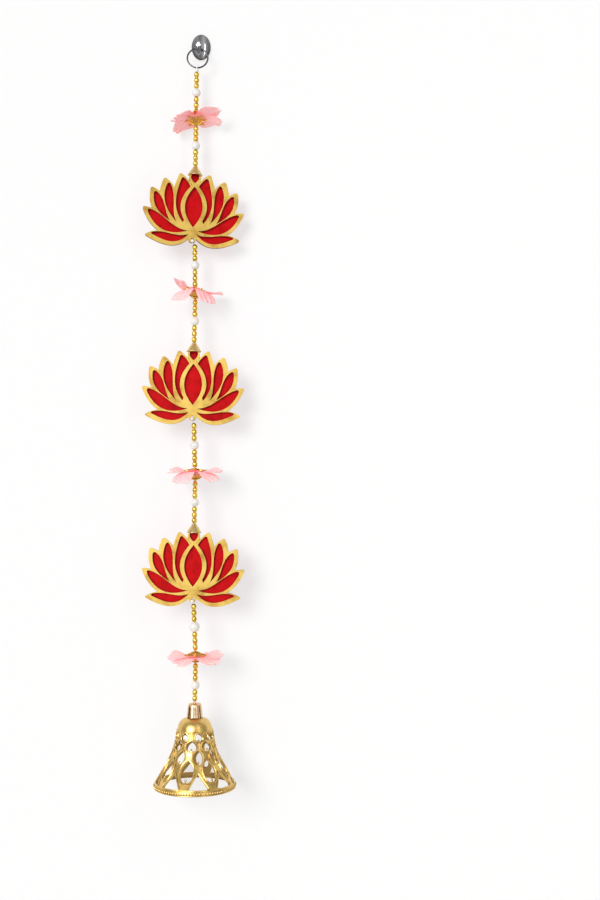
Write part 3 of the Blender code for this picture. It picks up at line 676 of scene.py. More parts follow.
def ball(radius, detail=2):
    """A small round bead."""
    shape = bmesh.new()
    bmesh.ops.create_icosphere(shape, subdivisions=detail, radius=radius)
    return shape


def hoop(radius, wire, steps, sides=8):
    """A round ring of wire about Z."""
    turns = [tau * number / sides for number in range(sides)]
    return spun([(radius + wire * cos(turn), wire * sin(turn)) for turn in turns], steps, True)


def tubes(lines, radius, closed, resolution=1):
    """Round tubes along lines of points, in one bmesh."""
    curve = bpy.data.curves.new("tubes", "CURVE")
    curve.dimensions = "3D"
    curve.bevel_depth = radius
    curve.bevel_resolution = resolution
    curve.use_fill_caps = not closed
    for line in lines:
        spline = curve.splines.new("POLY")
        spline.points.add(len(line) - 1)
        spline.use_cyclic_u = closed
        for point, position in zip(spline.points, line):
            point.co = (*position, 1.0)
    item = shown("tubes", curve)
    mesh = bpy.data.meshes.new_from_object(item.evaluated_get(bpy.context.evaluated_depsgraph_get()))
    bpy.data.objects.remove(item, do_unlink=True)
    shape = bmesh.new()
    shape.from_mesh(mesh)
    bmesh.ops.remove_doubles(shape, verts=shape.verts, dist=WELD)
    return shape


def piece(name, shape, finishes, nodes, sharp=40.0, place=None):
    """Turns a bmesh in millimetres, set in its place, into a piece that stands for some CAD nodes."""
    if place is not None:
        move(shape, place)
    bmesh.ops.scale(shape, vec=(MM, MM, MM), verts=shape.verts)
    mesh = mesh_from(name, shape, *[FINISHES[finish] for finish in finishes])
    mesh.shade_smooth()
    if sharp:
        mesh.set_sharp_from_angle(angle=radians(sharp))
    item = shown(name, mesh)
    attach(item, "root")
    if nodes:
        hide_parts(*nodes)
    return item


def smooth_rows(rows, parts):
    """Rows of a profile with more rows between them, on a curve through all of them."""
    points = [Vector(row) for row in rows]
    fine = []
    for number in range(len(points) - 1):
        start, end = points[number], points[number + 1]
        before = points[number - 1] if number else start
        after = points[number + 2] if number + 2 < len(points) else end
        reach = (end - start).length / 3
        leave = (end - before).normalized() * reach
        arrive = (after - start).normalized() * reach
        fine += interpolate_bezier(start, start + leave, end - arrive, end, parts + 1)[:-1]
    return [tuple(point) for point in fine] + [tuple(points[-1])]


class Turning:
    """A surface of revolution, unrolled into its turn and the length along its profile."""

    def __init__(self, rows):
        self.rows = []
        length = 0.0
        last = rows[0]
        for radius, drop in rows:
            length += hypot(radius - last[0], drop - last[1])
            self.rows.append((radius, drop, length))
            last = (radius, drop)

    def row(self, column, value):
        """The radius, drop and length where one of them, rising down the rows, has a value."""
        inside = max(self.rows[0][column], min(value, self.rows[-1][column]))
        return between(self.rows, inside, column)

    def point(self, turn, along, out=0.0):
        """The point at a turn and a length, moved out from the surface."""
        radius, drop, _ = self.row(2, along)
        below = self.row(2, along + 0.1)
        above = self.row(2, along - 0.1)
        slope = Vector((below[0] - above[0], below[1] - above[1])).normalized()
        radius += slope.y * out
        drop -= slope.x * out
        return Vector((radius * sin(turn), -radius * cos(turn), -drop))

    def sheet(self, outlines, sides):
        """The surface as an open sheet, less the openings, which are outlines in turn and length."""
        low, high = self.rows[0][2], self.rows[-1][2]
        guides = []
        for number in range(1, sides):
            turn = tau * number / sides
            guides.append(((turn, low), (turn, high)))
        for _, _, length in self.rows[1:-1]:
            guides.append(((0.0, length), (tau, length)))
        skin = [(0.0, low), (tau, low), (tau, high), (0.0, high)]
        named = [("skin", skin)] + [("open", outline) for outline in outlines]
        shape = flat_pieces(named, lambda names: "skin" in names and "open" not in names, guides, False)
        for vert in shape.verts:
            vert.co = self.point(vert.co.x, vert.co.y)
        bmesh.ops.remove_doubles(shape, verts=shape.verts, dist=SEAM_WELD)
        normals_out(shape)
        return shape


def flat_pieces(outlines, keep, guides=(), whole=True):
    """Lays named outlines over each other and keeps the areas that keep() accepts by their names."""
    points = []
    rings = []
    for _, outline in outlines:
        ring = list(range(len(points), len(points) + len(outline)))
        points += [Vector(point) for point in outline]
        swept = sum(points[a].cross(points[b]) for a, b in zip(ring, ring[1:] + ring[:1]))
        rings.append(ring if swept > 0.0 else ring[::-1])
    lines = []
    for start, end in guides:
        lines.append((len(points), len(points) + 1))
        points += [Vector(start), Vector(end)]
    kind = 1 if whole else 2
    corners, _, cells, _, _, owners = delaunay_2d_cdt(points, lines, rings, kind, WELD / 10, True)
    shape = bmesh.new()
    verts = [shape.verts.new((corner.x, corner.y, 0.0)) for corner in corners]
    for cell, inside in zip(cells, owners):
        if keep({outlines[number][0] for number in inside}):
            shape.faces.new([verts[number] for number in cell])
    bmesh.ops.delete(shape, geom=[vert for vert in shape.verts if not vert.link_faces], context="VERTS")
    if whole:
        bmesh.ops.dissolve_limit(shape, angle_limit=0.002, verts=shape.verts, edges=shape.edges)
    normals_out(shape)
    return shape


def thickened(shape, thickness):
    """Gives an open sheet a wall on the inner side of its faces."""
    bmesh.ops.solidify(shape, geom=shape.faces[:], thickness=thickness)
    normals_out(shape)


def leaf(root, tip, outer, inner, mirrored=False, steps=LOTUS_STEPS):
    """The outline of a pointed leaf between two points, each side a curve with two bulges off the chord."""
    root = Vector(root)
    tip = Vector(tip)
    chord = tip - root
    side = Vector((chord.y, -chord.x)).normalized()
    third = chord / 3
    low, high = root + third, tip - third
    out = interpolate_bezier(root, low + side * outer[0], high + side * outer[1], tip, steps)
    back = interpolate_bezier(tip, high - side * inner[1], low - side * inner[0], root, steps)
    sign = -1.0 if mirrored else 1.0
    return [(sign * point.x, point.y) for point in out[:-1] + back[:-1]]


def rounded(outline, number, radius):
    """An outline whose points near one corner give way to a curve."""
    count = len(outline)
    corner = Vector(outline[number])
    before = after = number
    while (Vector(outline[before % count]) - corner).length < radius:
        before -= 1
    while (Vector(outline[after % count]) - corner).length < radius:
        after += 1
    start, end = Vector(outline[before % count]), Vector(outline[after % count])
    pulls = [point.lerp(corner, CORNER_PULL) for point in (start, end)]
    bend = interpolate_bezier(start, *pulls, end, 8)
    rest = [outline[place % count] for place in range(after, before + count + 1)]
    return rest + [tuple(point) for point in bend[1:-1]]


def upright(root_z, tip_z, low, high):
    """A leaf on the plate's middle line, alike on both sides."""
    return leaf((0.0, root_z), (0.0, tip_z), (low, high), (low, high))


def disc(centre_z, radius, sides=24):
    """A round outline on the plate's middle line."""
    turns = [tau * (number + 0.5) / sides for number in range(sides)]
    return [(radius * sin(turn), centre_z + radius * cos(turn)) for turn in turns]


def lotus_outlines():
    """The gold and the open outlines of a lotus plate, hub at the origin, drawn in X and Y."""
    centre_side = LOTUS_CENTRE_BULGE + LOTUS_CENTRE_BAND * 4 / 3
    centre_tip = LOTUS_CENTRE_TIP + LOTUS_CENTRE_BAND
    outlines = [
        ("gold", upright(*LOTUS_NECK)),
        ("gold", upright(*LOTUS_HUB)),
        ("gold", upright(*LOTUS_FAN)),
        ("gold", disc(LOTUS_HOLE_Z, LOTUS_LUG_RADIUS)),
        ("centre band", upright(-4.0, centre_tip, centre_side, centre_side)),
        ("centre", upright(0.0, LOTUS_CENTRE_TIP, LOTUS_CENTRE_BULGE, LOTUS_CENTRE_BULGE)),
        ("open", upright(*LOTUS_DROP)),
        ("hole", disc(LOTUS_HOLE_Z, LOTUS_HOLE_RADIUS)),
    ]
    widen = LOTUS_BAND * 4 / 3
    tip_number = LOTUS_STEPS - 1
    for root, tip, outer, inner, point, crest in LOTUS_PETALS:
        inner = [-bulge for bulge in inner]
        start = Vector(root) - (Vector(point) - Vector(root)).normalized() * LOTUS_ROOT_REACH
        wide_outer = [bulge + widen for bulge in outer]
        wide_inner = (inner[0] + widen, inner[1] + crest + widen)
        open_outer = [bulge + LOTUS_EASE for bulge in outer]
        open_inner = [bulge + LOTUS_EASE for bulge in inner]
        for mirrored in (False, True):
            hollow = leaf(root, tip, open_outer, open_inner, mirrored)
            band = leaf(start, point, wide_outer, wide_inner, mirrored)
            outlines.append(("open", rounded(hollow, tip_number, LOTUS_OPEN_ROUND)))
            outlines.append(("gold", rounded(band, tip_number, LOTUS_TIP_ROUND)))
    return outlines


def gold_area(names):
    """True on the pierced gold face."""
    if names & {"centre", "hole"}:
        return False
    return "centre band" in names or ("gold" in names and "open" not in names)


def backing_area(names):
    """True on the whole backing, which has only the thread's hole."""
    return bool(names & {"gold", "centre band"}) and "hole" not in names


def hook_plate():
    """The hook's domed oval plate."""
    half = PLATE_HEIGHT / 2
    rows = [(share * half, distance) for share, distance in PLATE_PROFILE]
    shape = spun(rows + [(0.0, 0.0)], 64, True)
    move(shape, UPRIGHT @ Matrix.Diagonal((PLATE_WIDTH / PLATE_HEIGHT, 1.0, 1.0, 1.0)))
    normals_out(shape)
    return shape


def hook_arm():
    """The hook's flat arm, swept along its route, with a rounded tip."""
    arm = bmesh.new()
    bmesh.ops.create_circle(arm, cap_ends=True, segments=ARM_SIDES, radius=1.0)
    rows = smooth_rows(ARM_ROUTE, 4)
    profile = arm.verts[:]
    section = next(iter(arm.faces))
    for number, (distance, z, width) in enumerate(rows):
        before = rows[max(number - 1, 0)]
        after = rows[min(number + 1, len(rows) - 1)]
        heading = Vector((0.0, -(after[0] - before[0]), after[1] - before[1])).normalized()
        turn = Vector((0.0, 0.0, 1.0)).rotation_difference(heading)
        if number:
            moved = bmesh.ops.extrude_face_region(arm, geom=[section])["geom"]
            section = next(item for item in moved if isinstance(item, bmesh.types.BMFace))
            profile = [loop.vert for loop in section.loops]
        for step, vert in enumerate(profile):
            angle = tau * step / ARM_SIDES
            flat = Vector((width * cos(angle), ARM_HALF_THICKNESS * sin(angle), 0.0))
            vert.co = Vector((ARM_X, -distance, z)) + turn @ flat
    normals_out(arm)
    eased(arm, list(section.edges), ARM_TIP_ROUND, 4)
    # The arm takes a dark steel tone: a painted dark reflection of the chrome facing dark surroundings
    for face in arm.faces:
        face.material_index = 1
    return arm


def ring_shape():
    """The split ring: flat wire wound twice about Y."""
    shape = bmesh.new()
    bmesh.ops.create_circle(shape, cap_ends=True, segments=10, radius=1.0)
    half = RING_WIRE / 2
    bmesh.ops.scale(shape, vec=(half * RING_DEPTH, half * RING_CLOSENESS, 1.0), verts=shape.verts)
    bmesh.ops.translate(shape, verts=shape.verts, vec=(RING_RADIUS + RING_SPREAD, -half, 0.0))
    bmesh.ops.spin(
        shape, geom=shape.faces[:], cent=(0.0, 0.0, 0.0), axis=(0.0, 1.0, 0.0),
        dvec=(0.0, RING_WIRE / RING_STEPS, 0.0), angle=2 * tau - radians(RING_OPENING),
        steps=RING_STEPS, use_merge=False)
    normals_out(shape)
    return shape


def knot_shape(foot):
    """The wraps of the knot, and the two loops of thread round the ring's foot."""
    knot = Matrix.Translation(line_point(STRAND_TOP + KNOT_DROP))
    wraps = bmesh.new()
    for height, radius, degrees in KNOT_WRAPS:
        tilt = Matrix.Rotation(radians(degrees), 4, "X") @ Matrix.Rotation(KNOT_LEAN, 4, "Y")
        absorb(wraps, hoop(radius, KNOT_WIRE, 28), knot @ lowered(-height) @ tilt)
    for degrees, radius in RING_LOOPS:
        turn = Matrix.Rotation(radians(degrees), 4, "Z") @ Matrix.Diagonal((1.0, 1.0, LOOP_STRETCH, 1.0))
        stand = turn @ Matrix.Rotation(radians(90), 4, "Y")
        absorb(wraps, hoop(radius, KNOT_WIRE, 32), Matrix.Translation(foot) @ stand)
    return wraps


def cut_plate(keep, thickness, depth, scale):
    """A plate cut from board, standing upright, with eased arrises and burnt cut sides."""
    shape = flat_pieces(lotus_outlines(), keep)
    moved = bmesh.ops.extrude_face_region(shape, geom=shape.faces[:], use_keep_orig=True)["geom"]
    lifted = [item for item in moved if isinstance(item, bmesh.types.BMVert)]
    bmesh.ops.translate(shape, verts=lifted, vec=(0.0, 0.0, thickness))
    normals_out(shape)
    rims = [edge for edge in shape.edges if edge.is_manifold and edge.calc_face_angle() > 1.2
            and abs(edge.verts[0].co.z - edge.verts[1].co.z) < WELD]
    eased(shape, rims, LOTUS_EDGE, 2)
    for face in shape.faces:
        face.material_index = 1 if abs(face.normal.z) < 0.3 else 0
    stand = UPRIGHT @ Matrix.Diagonal((scale, scale, 1.0, 1.0))
    place = Matrix.Translation((0.0, depth + thickness, 0.0)) @ stand
    move(shape, place)
    normals_out(shape)
    return shape


def lotus_front():
    """The local Y of a lotus plate's front face."""
    return -(LOTUS_FACE + GAP + LOTUS_BACKING) / 2 - LOTUS_SHIFT


def lotus_place(number):
    """The matrix of a lotus plate and its cone cap, whose origin is the cap's top."""
    run = {1: "bead_run_04", 2: "bead_run_08", 3: "bead_run_12"}[number]
    _, above = ends(run)
    top = line_point(above.z - GAP)
    bottom = line_point(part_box(f"lotus_face_{number}")[0].z / MM)
    roll, yaw = LOTUS_TURNS[number - 1]
    return placed(top, bottom, Euler((0.0, radians(roll), radians(yaw)), "YXZ"))


def bead_shape(radius, length, bore, sides, arcs):
    """A rounded bead with a bore, its top at the origin."""
    pole = radians(32)
    profile = []
    for number in range(arcs + 1):
        angle = pole + (pi - 2 * pole) * number / arcs
        height = cos(angle) / cos(pole)
        profile.append((radius * sin(angle), (height - 1.0) * length / 2))
    profile += [(bore, -length), (bore, 0.0)]
    return spun(profile, sides, True)


def unstretched(shape, flat):
    """Draws each row of verts that runs out from the thread back to the length it had when flat."""
    rows = {}
    for vert in shape.verts:
        rows.setdefault(round(flat[vert][2], 4), []).append(vert)
    for row in rows.values():
        row.sort(key=lambda vert: flat[vert][3])
        bent = [vert.co.copy() for vert in row]
        for number in range(1, len(row)):
            x0, y0 = flat[row[number - 1]][:2]
            x1, y1 = flat[row[number]][:2]
            step = (bent[number] - bent[number - 1]).normalized() * hypot(x1 - x0, y1 - y0)
            row[number].co = row[number - 1].co + step


def petal_shape(direction, reach, lift, twist, chance):
    """A notched cloth petal, flat size and shape in its maps, then folded, twisted and lifted."""
    shape = bmesh.new()
    bmesh.ops.create_grid(shape, x_segments=PETAL_ACROSS, y_segments=PETAL_ALONG, size=1.0)
    petal_map = shape.loops.layers.uv.new("petal")
    cut_map = shape.loops.layers.uv.new("cut")
    depths = [depth * chance.uniform(0.6, 1.4) for depth, _, _ in PETAL_NOTCHES]
    sway = chance.uniform(-PETAL_SWAY, PETAL_SWAY)
    ruffle = chance.uniform(0.0, 6.0)
    fold = PETAL_FOLD * chance.uniform(0.7, 1.3)
    flat = {}
    for vert in shape.verts:
        across, share = vert.co.x, (vert.co.y + 1.0) / 2
        length = reach * PETAL_SLACK - PETAL_BASE - PETAL_CORNER * abs(across) ** 2.6
        for depth, (_, place, width) in zip(depths, PETAL_NOTCHES):
            length -= depth * exp(-((across - place) / width) ** 2)
        half_width = between(PETAL_WIDTHS, share, smooth=True)[1]
        flat[vert] = (across * half_width, PETAL_BASE + length * share, across, share)
    for face in shape.faces:
        for loop in face.loops:
            x, y, across, share = flat[loop.vert]
            loop[petal_map].uv = ((across + 1.0) / 2 + 0.1 * direction, share)
            loop[cut_map].uv = (x * 0.1, y * 0.1)
    for vert, (x, y, across, share) in flat.items():
        free = max(0.0, share - PETAL_FREE) / (1.0 - PETAL_FREE)
        height = lift * free ** 1.4
        height += fold * free * (abs(across) ** 1.4 - 0.35)
        height += 0.9 * free * sin(4.2 * across + 3.0 * share + ruffle)
        height += 0.7 * free ** 2 * sin(9.0 * across + 2.0 * ruffle)
        turn = radians(twist) * free
        x *= 1.0 - 0.1 * free * fold / 3.0
        side = x * cos(turn) - height * sin(turn) * 0.2
        rise = height + x * sin(turn)
        vert.co = (side + sway * free, y, rise)
    unstretched(shape, flat)
    move(shape, Matrix.Rotation(radians(direction - 90), 4, "Z"))
    return shape


def blossom(number, seed):
    """Five cloth petals on the thread, as one piece, folded up where they meet the wall."""
    roll, pitch, seat, _, _, rows = BLOSSOM_ROWS[number - 1]
    above = ends(f"bead_run_{4 * number - 2:02d}")[1]
    below = ends(f"bead_run_{4 * number - 1:02d}")[0]
    top, bottom = line_point(above.z - GAP), line_point(below.z + GAP)
    turn = Euler((radians(pitch), radians(roll), 0.0))
    chance = random.Random(seed + number)
    cloth = bmesh.new()
    for order, row in enumerate(rows):
        absorb(cloth, petal_shape(*row, chance), lowered(GAP * (1 - order % 3)))
    for dip in HEART_DIPS:
        rings = [PETAL_BASE - 0.2] + [CLOTH_HEART * step / 6 for step in range(2, 7)]
        heart = spun([(radius, 0.0) for radius in rings], 48)
        for vert in heart.verts:
            share = vert.co.xy.length / CLOTH_HEART
            angle = atan2(vert.co.y, vert.co.x)
            vert.co.z = share ** 1.2 * (dip * sin(angle) + 0.6 * sin(3.0 * angle + number + dip))
        absorb(cloth, heart)
    area = sum(face.calc_area() for face in cloth.faces)
    down = (bottom - top).normalized()
    move(cloth, placed(top + down * seat, bottom, turn))
    for vert in cloth.verts:
        past = vert.co.y + WALL_CLEAR
        if past > 0.0:
            vert.co.y = -WALL_CLEAR - 0.1 * past
            vert.co.z += 0.85 * past
    item = piece(f"cloth_blossom_{number}", cloth, ["pink_cloth"], [f"flower_{number}"], 0)
    wall = item.modifiers.new("Thickness", "SOLIDIFY")
    wall.thickness = CLOTH_THICK * MM
    wall.offset = 0.0
    side = 2 * max(row[1] for row in rows) * PETAL_SLACK * MM
    area * MM * MM
    return top, bottom, turn


def filigree_cap(depth):
    """A bead cap of open leaves round a collar, opening down, as a bmesh."""
    def spot(turn, radius, over=0.0):
        drop = depth * between(CAP_SHAPE, radius)[1]
        return Vector((radius * sin(turn), radius * cos(turn), over - drop))

    def keep(names):
        return "hole" not in names and "metal" in names and "open" not in names

    outlines = [("metal", disc(0.0, CAP_COLLAR, 32)), ("hole", disc(0.0, CAP_BORE, 16))]
    for number in range(CAP_LEAVES):
        spin = Matrix.Rotation(tau * number / CAP_LEAVES, 2)
        for name, root, tip, bulge in CAP_LEAF_FORMS:
            bulges = (bulge * 0.75, bulge * 1.35)
            outline = leaf((0.0, root), (0.0, tip), bulges, bulges, steps=9)
            outlines.append((name, [tuple(spin @ Vector(point)) for point in outline]))
    guides = []
    for number in range(CAP_LEAVES * 2):
        turn = tau * number / (CAP_LEAVES * 2)
        ray = Vector((sin(turn), cos(turn)))
        guides.append((tuple(ray * CAP_BORE), tuple(ray * 11.0)))
    for radius in CAP_RINGS:
        ring = disc(0.0, radius, 48)
        guides += list(zip(ring, ring[1:] + ring[:1]))
    shape = flat_pieces(outlines, keep, guides, False)
    for vert in shape.verts:
        vert.co.z = spot(0.0, vert.co.xy.length).z
    thickened(shape, CAP_THICK)
    for number in range(CAP_LEAVES):
        turn = tau * number / CAP_LEAVES
        absorb(shape, ball(CAP_TIP[1]), Matrix.Translation(spot(turn, CAP_TIP[0])))
        absorb(shape, tubes([[spot(turn, *place) for place in CAP_RIB]], CAP_RIB_WIRE, False))
    absorb(shape, spun(CAP_NECK, 32, True))
    return shape


def opening_form(name):
    """The outline of an opening, tip up, within one unit of its middle."""
    if name == "tent":
        side = [Vector((0.07, 1.0)).lerp(Vector((0.98, -0.8)), step / 7) for step in range(8)]
        foot = [Vector(point) for point in ((0.93, -0.95), (0.82, -1.0), (0.4, -1.0), (0.0, -1.0))]
        right = [Vector((0.0, 1.06))] + side + foot
    else:
        ends_at = [Vector(point) for point in ((0.0, 1.0), (0.6, 0.74), (1.0, 0.4), (1.0, -0.2))]
        foot = [Vector(point) for point in ((1.0, -0.2), (1.0, -0.7), (0.6, -1.0), (0.0, -1.0))]
        right = interpolate_bezier(*ends_at, 9)[:-1] + interpolate_bezier(*foot, 8)
    right = [tuple(point) for point in right]
    return right + [(-x, z) for x, z in reversed(right[1:-1])]


def opening_outline(surface, form, middle, half_width, half_height, turn, spread):
    """An opening's outline on a turning, in turn and length."""
    points = []
    for x, z in opening_form(form):
        radius, _, along = surface.row(1, middle - z * half_height * spread)
        points.append((turn + x * half_width * spread / radius, along))
    return points


def bell_openings(surface, spread, columns):
    """The outlines of the bell's openings in some of its columns."""
    outlines = []
    for *form, degrees, _ in BELL_OPENINGS:
        for column in columns:
            turn = radians(degrees) + column * tau / BELL_COLUMNS
            outlines.append(opening_outline(surface, *form, turn, spread))
    return outlines


def bell_shape():
    """The pierced bell: skin, raised tracery round its openings, buds, ridges and a beaded rim."""
    surface = Turning(smooth_rows(BELL_PROFILE[:-2], 4) + [BELL_PROFILE[-2], BELL_LIP, BELL_PROFILE[-1]])
    shape = surface.sheet(bell_openings(surface, 1.0, range(-1, BELL_COLUMNS + 1)), BELL_SIDES)
    thickened(shape, BELL_WALL)
    paint_inner_shade(shape)
    lines = []
    for outline in bell_openings(surface, TRACERY_SPREAD, range(BELL_COLUMNS)):
        lines.append([surface.point(turn, along, 0.1) for turn, along in outline])
    absorb(shape, tubes(lines, TRACERY_RADIUS, True, 2))
    for _, middle, _, half_height, degrees, bud in BELL_OPENINGS:
        if not bud:
            continue
        along = surface.row(1, middle + half_height)[2]
        for column in range(BELL_COLUMNS):
            turn = radians(degrees) + column * tau / BELL_COLUMNS
            head = surface.point(turn, along - bud * 1.9, 0.2)
            foot = surface.point(turn, along + 0.6, 0.2)
            absorb(shape, ball(bud), Matrix.Translation(head))
            absorb(shape, tubes([[head, (head + foot) / 2, foot]], bud * 0.55, False))
    for drop, wire, out in BELL_RIDGES:
        radius = surface.row(1, drop)[0] + out
        absorb(shape, hoop(radius, wire, 96), lowered(drop))
    for count, drop, radius, out in BELL_BEADS:
        along = surface.row(1, drop)[2]
        for number in range(count):
            spot = surface.point(tau * number / count, along, out)
            absorb(shape, ball(radius, 1), Matrix.Translation(spot))
    return shape


def paint_inner_shade(shape):
    """Gives the faces that look at the axis the second material, a darker gold that is painted shade."""
    for face in shape.faces:
        middle = face.calc_center_median()
        away = Vector((middle.x, middle.y, 0.0)).normalized()
        face.material_index = 1 if face.normal.dot(away) < -0.3 else 0


def crown_shape():
    """The slotted crown, its prongs fluted."""
    surface = Turning(smooth_rows(CROWN_PROFILE, 3))
    low = surface.row(1, CROWN_SLOT_TOP)[2]
    high = surface.rows[-1][2] + 1.0
    outlines = []
    for column in range(CROWN_SLOTS):
        turn = radians(45) + column * tau / CROWN_SLOTS
        right = [(0.4, low), (1.0, low + 1.4), (1.0, high)]
        both = right + [(-share, along) for share, along in reversed(right)]
        outlines.append([(turn + share * CROWN_SLOT_HALF, along) for share, along in both])
    shape = surface.sheet(outlines, 64)
    for vert in shape.verts:
        if vert.co.xy.length > 5.0:
            flute = (0.5 + 0.5 * cos(8.0 * atan2(vert.co.x, -vert.co.y))) ** 2
            vert.co.xy *= 1.0 - CROWN_FLUTE * flute
    thickened(shape, CROWN_WALL)
    paint_inner_shade(shape)
    return shape


class ToranBeadSettings(PropertyGroup):
    """Sizes and colour of the beads and pearls."""
    bead_radius: FloatProperty(
        name="Bead radius", description="Radius of a gold bead", default=2.68 * MM,
        unit="LENGTH", subtype="DISTANCE")
    pearl_radius: FloatProperty(
        name="Pearl radius", description="Radius of a pearl", default=4.4 * MM,
        unit="LENGTH", subtype="DISTANCE")
    bore: FloatProperty(
        name="Bore", description="Radius of a bead's bore", default=0.8 * MM,
        unit="LENGTH", subtype="DISTANCE")
    gold: FloatVectorProperty(
        name="Gold", description="Colour of the gold beads", default=(0.86, 0.6, 0.1),
        subtype="COLOR", size=3)
    sides: IntProperty(name="Bead sides", description="Steps round a gold bead", default=24, min=8, max=48)


class ToranClothSettings(PropertyGroup):
    """Colours of the blossoms and the chance that shapes them."""
    edge: FloatVectorProperty(
        name="Petal edge", description="Pink near a petal's edge", default=(1.0, 0.66, 0.67),
        subtype="COLOR", size=3)
    heart: FloatVectorProperty(
        name="Petal heart", description="Pink near the thread", default=(0.95, 0.37, 0.4),
        subtype="COLOR", size=3)
    seed: IntProperty(name="Seed", description="Seed of the petals' folds", default=7)


class ToranLotusSettings(PropertyGroup):
    """Colours of the lotus plates."""
    gold: FloatVectorProperty(
        name="Lotus gold", description="Gold paint", default=(0.74, 0.49, 0.1),
        subtype="COLOR", size=3)
    red: FloatVectorProperty(
        name="Lotus red", description="Red lacquer", default=(0.53, 0.0015, 0.004),
        subtype="COLOR", size=3)


class ToranMetalSettings(PropertyGroup):
    """Colours of the plated metal."""
    bell: FloatVectorProperty(
        name="Bell", description="Pale gold of the bell", default=(0.84, 0.57, 0.18),
        subtype="COLOR", size=3)
    cone: FloatVectorProperty(
        name="Cones", description="Satin gold of the cone caps", default=(0.84, 0.64, 0.27),
        subtype="COLOR", size=3)
    filigree: FloatVectorProperty(
        name="Bead caps", description="Orange gold of the bead caps", default=(0.96, 0.56, 0.1),
        subtype="COLOR", size=3)


class ToranStageSettings(PropertyGroup):
    """The light and the wall."""
    key: FloatProperty(name="Key light", description="Strength of the broad key light", default=2.0)
    card: FloatProperty(
        name="Card", description="Power of the lit card left of the camera", default=4.0, unit="POWER")
    sky: FloatProperty(name="Sky", description="Strength of the surrounding light", default=0.42)
    wall: FloatVectorProperty(
        name="Wall", description="Colour of the wall", default=(0.3, 0.3, 0.3),
        subtype="COLOR", size=3)
    glow: FloatProperty(name="Glow", description="Light of the wall's own", default=0.625)


class TORAN_OT_hook(Operator):
    """Makes the chrome wall hook"""
    bl_idname = "toran.hook"
    bl_label = "Wall hook"

    def execute(self, context):
        shape = hook_plate()
        absorb(shape, hook_arm())
        piece("chrome_hook", shape, ["chrome", "arm_chrome_painted_dark_reflection"], ["wall_hook"], 50.0)
        return {"FINISHED"}


class TORAN_OT_ring(Operator):
    """Makes the split ring and the knot under it"""
    bl_idname = "toran.ring"
    bl_label = "Split ring and knot"

    def execute(self, context):
        top = Vector(RING_TOP)
        hang = line_turn(top, line_point(STRAND_TOP))
        centre = top + hang @ Vector((0.0, 0.0, -RING_RADIUS))
        place = Matrix.LocRotScale(centre, hang, None) @ Matrix.Rotation(radians(RING_START), 4, "Y")
        piece("steel_ring", ring_shape(), ["ring_steel"], ["split_ring"], 40.0, place)
        foot = top + hang @ Vector((0.0, 0.0, -2 * RING_RADIUS))
        piece("thread_knot", knot_shape(foot), ["nylon"], [], 0)
        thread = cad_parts["thread"]
        thread.data.materials.clear()
        thread.data.materials.append(FINISHES["nylon"])
        return {"FINISHED"}


class TORAN_OT_beads(Operator):
    """Makes the runs of gold beads"""
    bl_idname = "toran.beads"
    bl_label = "Gold beads"

    def execute(self, context):
        sizes = context.scene.toran_beads
        chance = random.Random(11)
        for number in range(1, BEAD_RUNS + 1):
            node = f"bead_run_{number:02d}"
            top, bottom = ends(node)
            length = (top - bottom).length
            count = round(length / BEAD_PITCH)
            run = bmesh.new()
            for order in range(count):
                pitch = length / count
                radius = sizes.bead_radius / MM * chance.uniform(0.97, 1.03)
                bead = bead_shape(radius, pitch, sizes.bore / MM, sizes.sides, 12)
                tilt = Euler([radians(chance.uniform(-4, 4)) for _ in range(2)] + [chance.uniform(0, 1)])
                middle = lowered(pitch / 2)
                spin = middle @ tilt.to_matrix().to_4x4() @ middle.inverted()
                absorb(run, bead, lowered(order * pitch) @ spin)
            place = placed(top, bottom)
            piece(f"gold_beads_{number:02d}", run, ["gold_bead"], [node], 60.0, place)
        return {"FINISHED"}


class TORAN_OT_pearls(Operator):
    """Makes the pearls and the small white beads under the lotus plates"""
    bl_idname = "toran.pearls"
    bl_label = "Pearls"

    def execute(self, context):
        sizes = context.scene.toran_beads
        bore = sizes.bore / MM
        for number in range(1, PEARLS + 1):
            node = f"pearl_{number}"
            top, bottom = ends(node)
            length = (top - bottom).length
            radius = sizes.pearl_radius / MM * length / PEARL_LENGTH
            shape = bead_shape(radius, length, bore, 40, 24)
            piece(f"white_pearl_{number}", shape, ["pearl"], [node], 50.0, placed(top, bottom))
        for number in range(1, LOTUSES + 1):
            hole = -(CONE_HEIGHT + LOTUS_RIM_Z) + LOTUS_HOLE_Z
            front = lotus_front() - SEED_RADIUS - GAP
            shape = bead_shape(SEED_RADIUS, SEED_HEIGHT, bore, 24, 12)
            place = lotus_place(number) @ Matrix.Translation((0.0, front, hole - SEED_DROP))
            node = f"seed_bead_{number}"
            piece(f"foot_bead_{number}", shape, ["white_bead"], [node], 50.0, place)
        return {"FINISHED"}


class TORAN_OT_blossoms(Operator):
    """Makes the cloth blossoms and their filigree caps"""
    bl_idname = "toran.blossoms"
    bl_label = "Cloth blossoms"

    def execute(self, context):
        cloth = context.scene.toran_cloth
        for number in range(1, BLOSSOMS + 1):
            top, bottom, turn = blossom(number, cloth.seed)
            margin = (bottom - top).normalized() * CAP_MARGIN
            upper_depth, lower_depth = BLOSSOM_ROWS[number - 1][3:5]
            flip = Matrix.Rotation(pi, 4, "X")
            for side, depth, place in (
                    ("upper", upper_depth, placed(top + margin, bottom, turn)),
                    ("lower", lower_depth, placed(bottom - margin, bottom + margin, turn) @ flip)):
                node = f"flower_cap_{side}_{number}"
                name = f"filigree_{side}_{number}"
                piece(name, filigree_cap(depth), ["filigree"], [node], place=place)
        return {"FINISHED"}


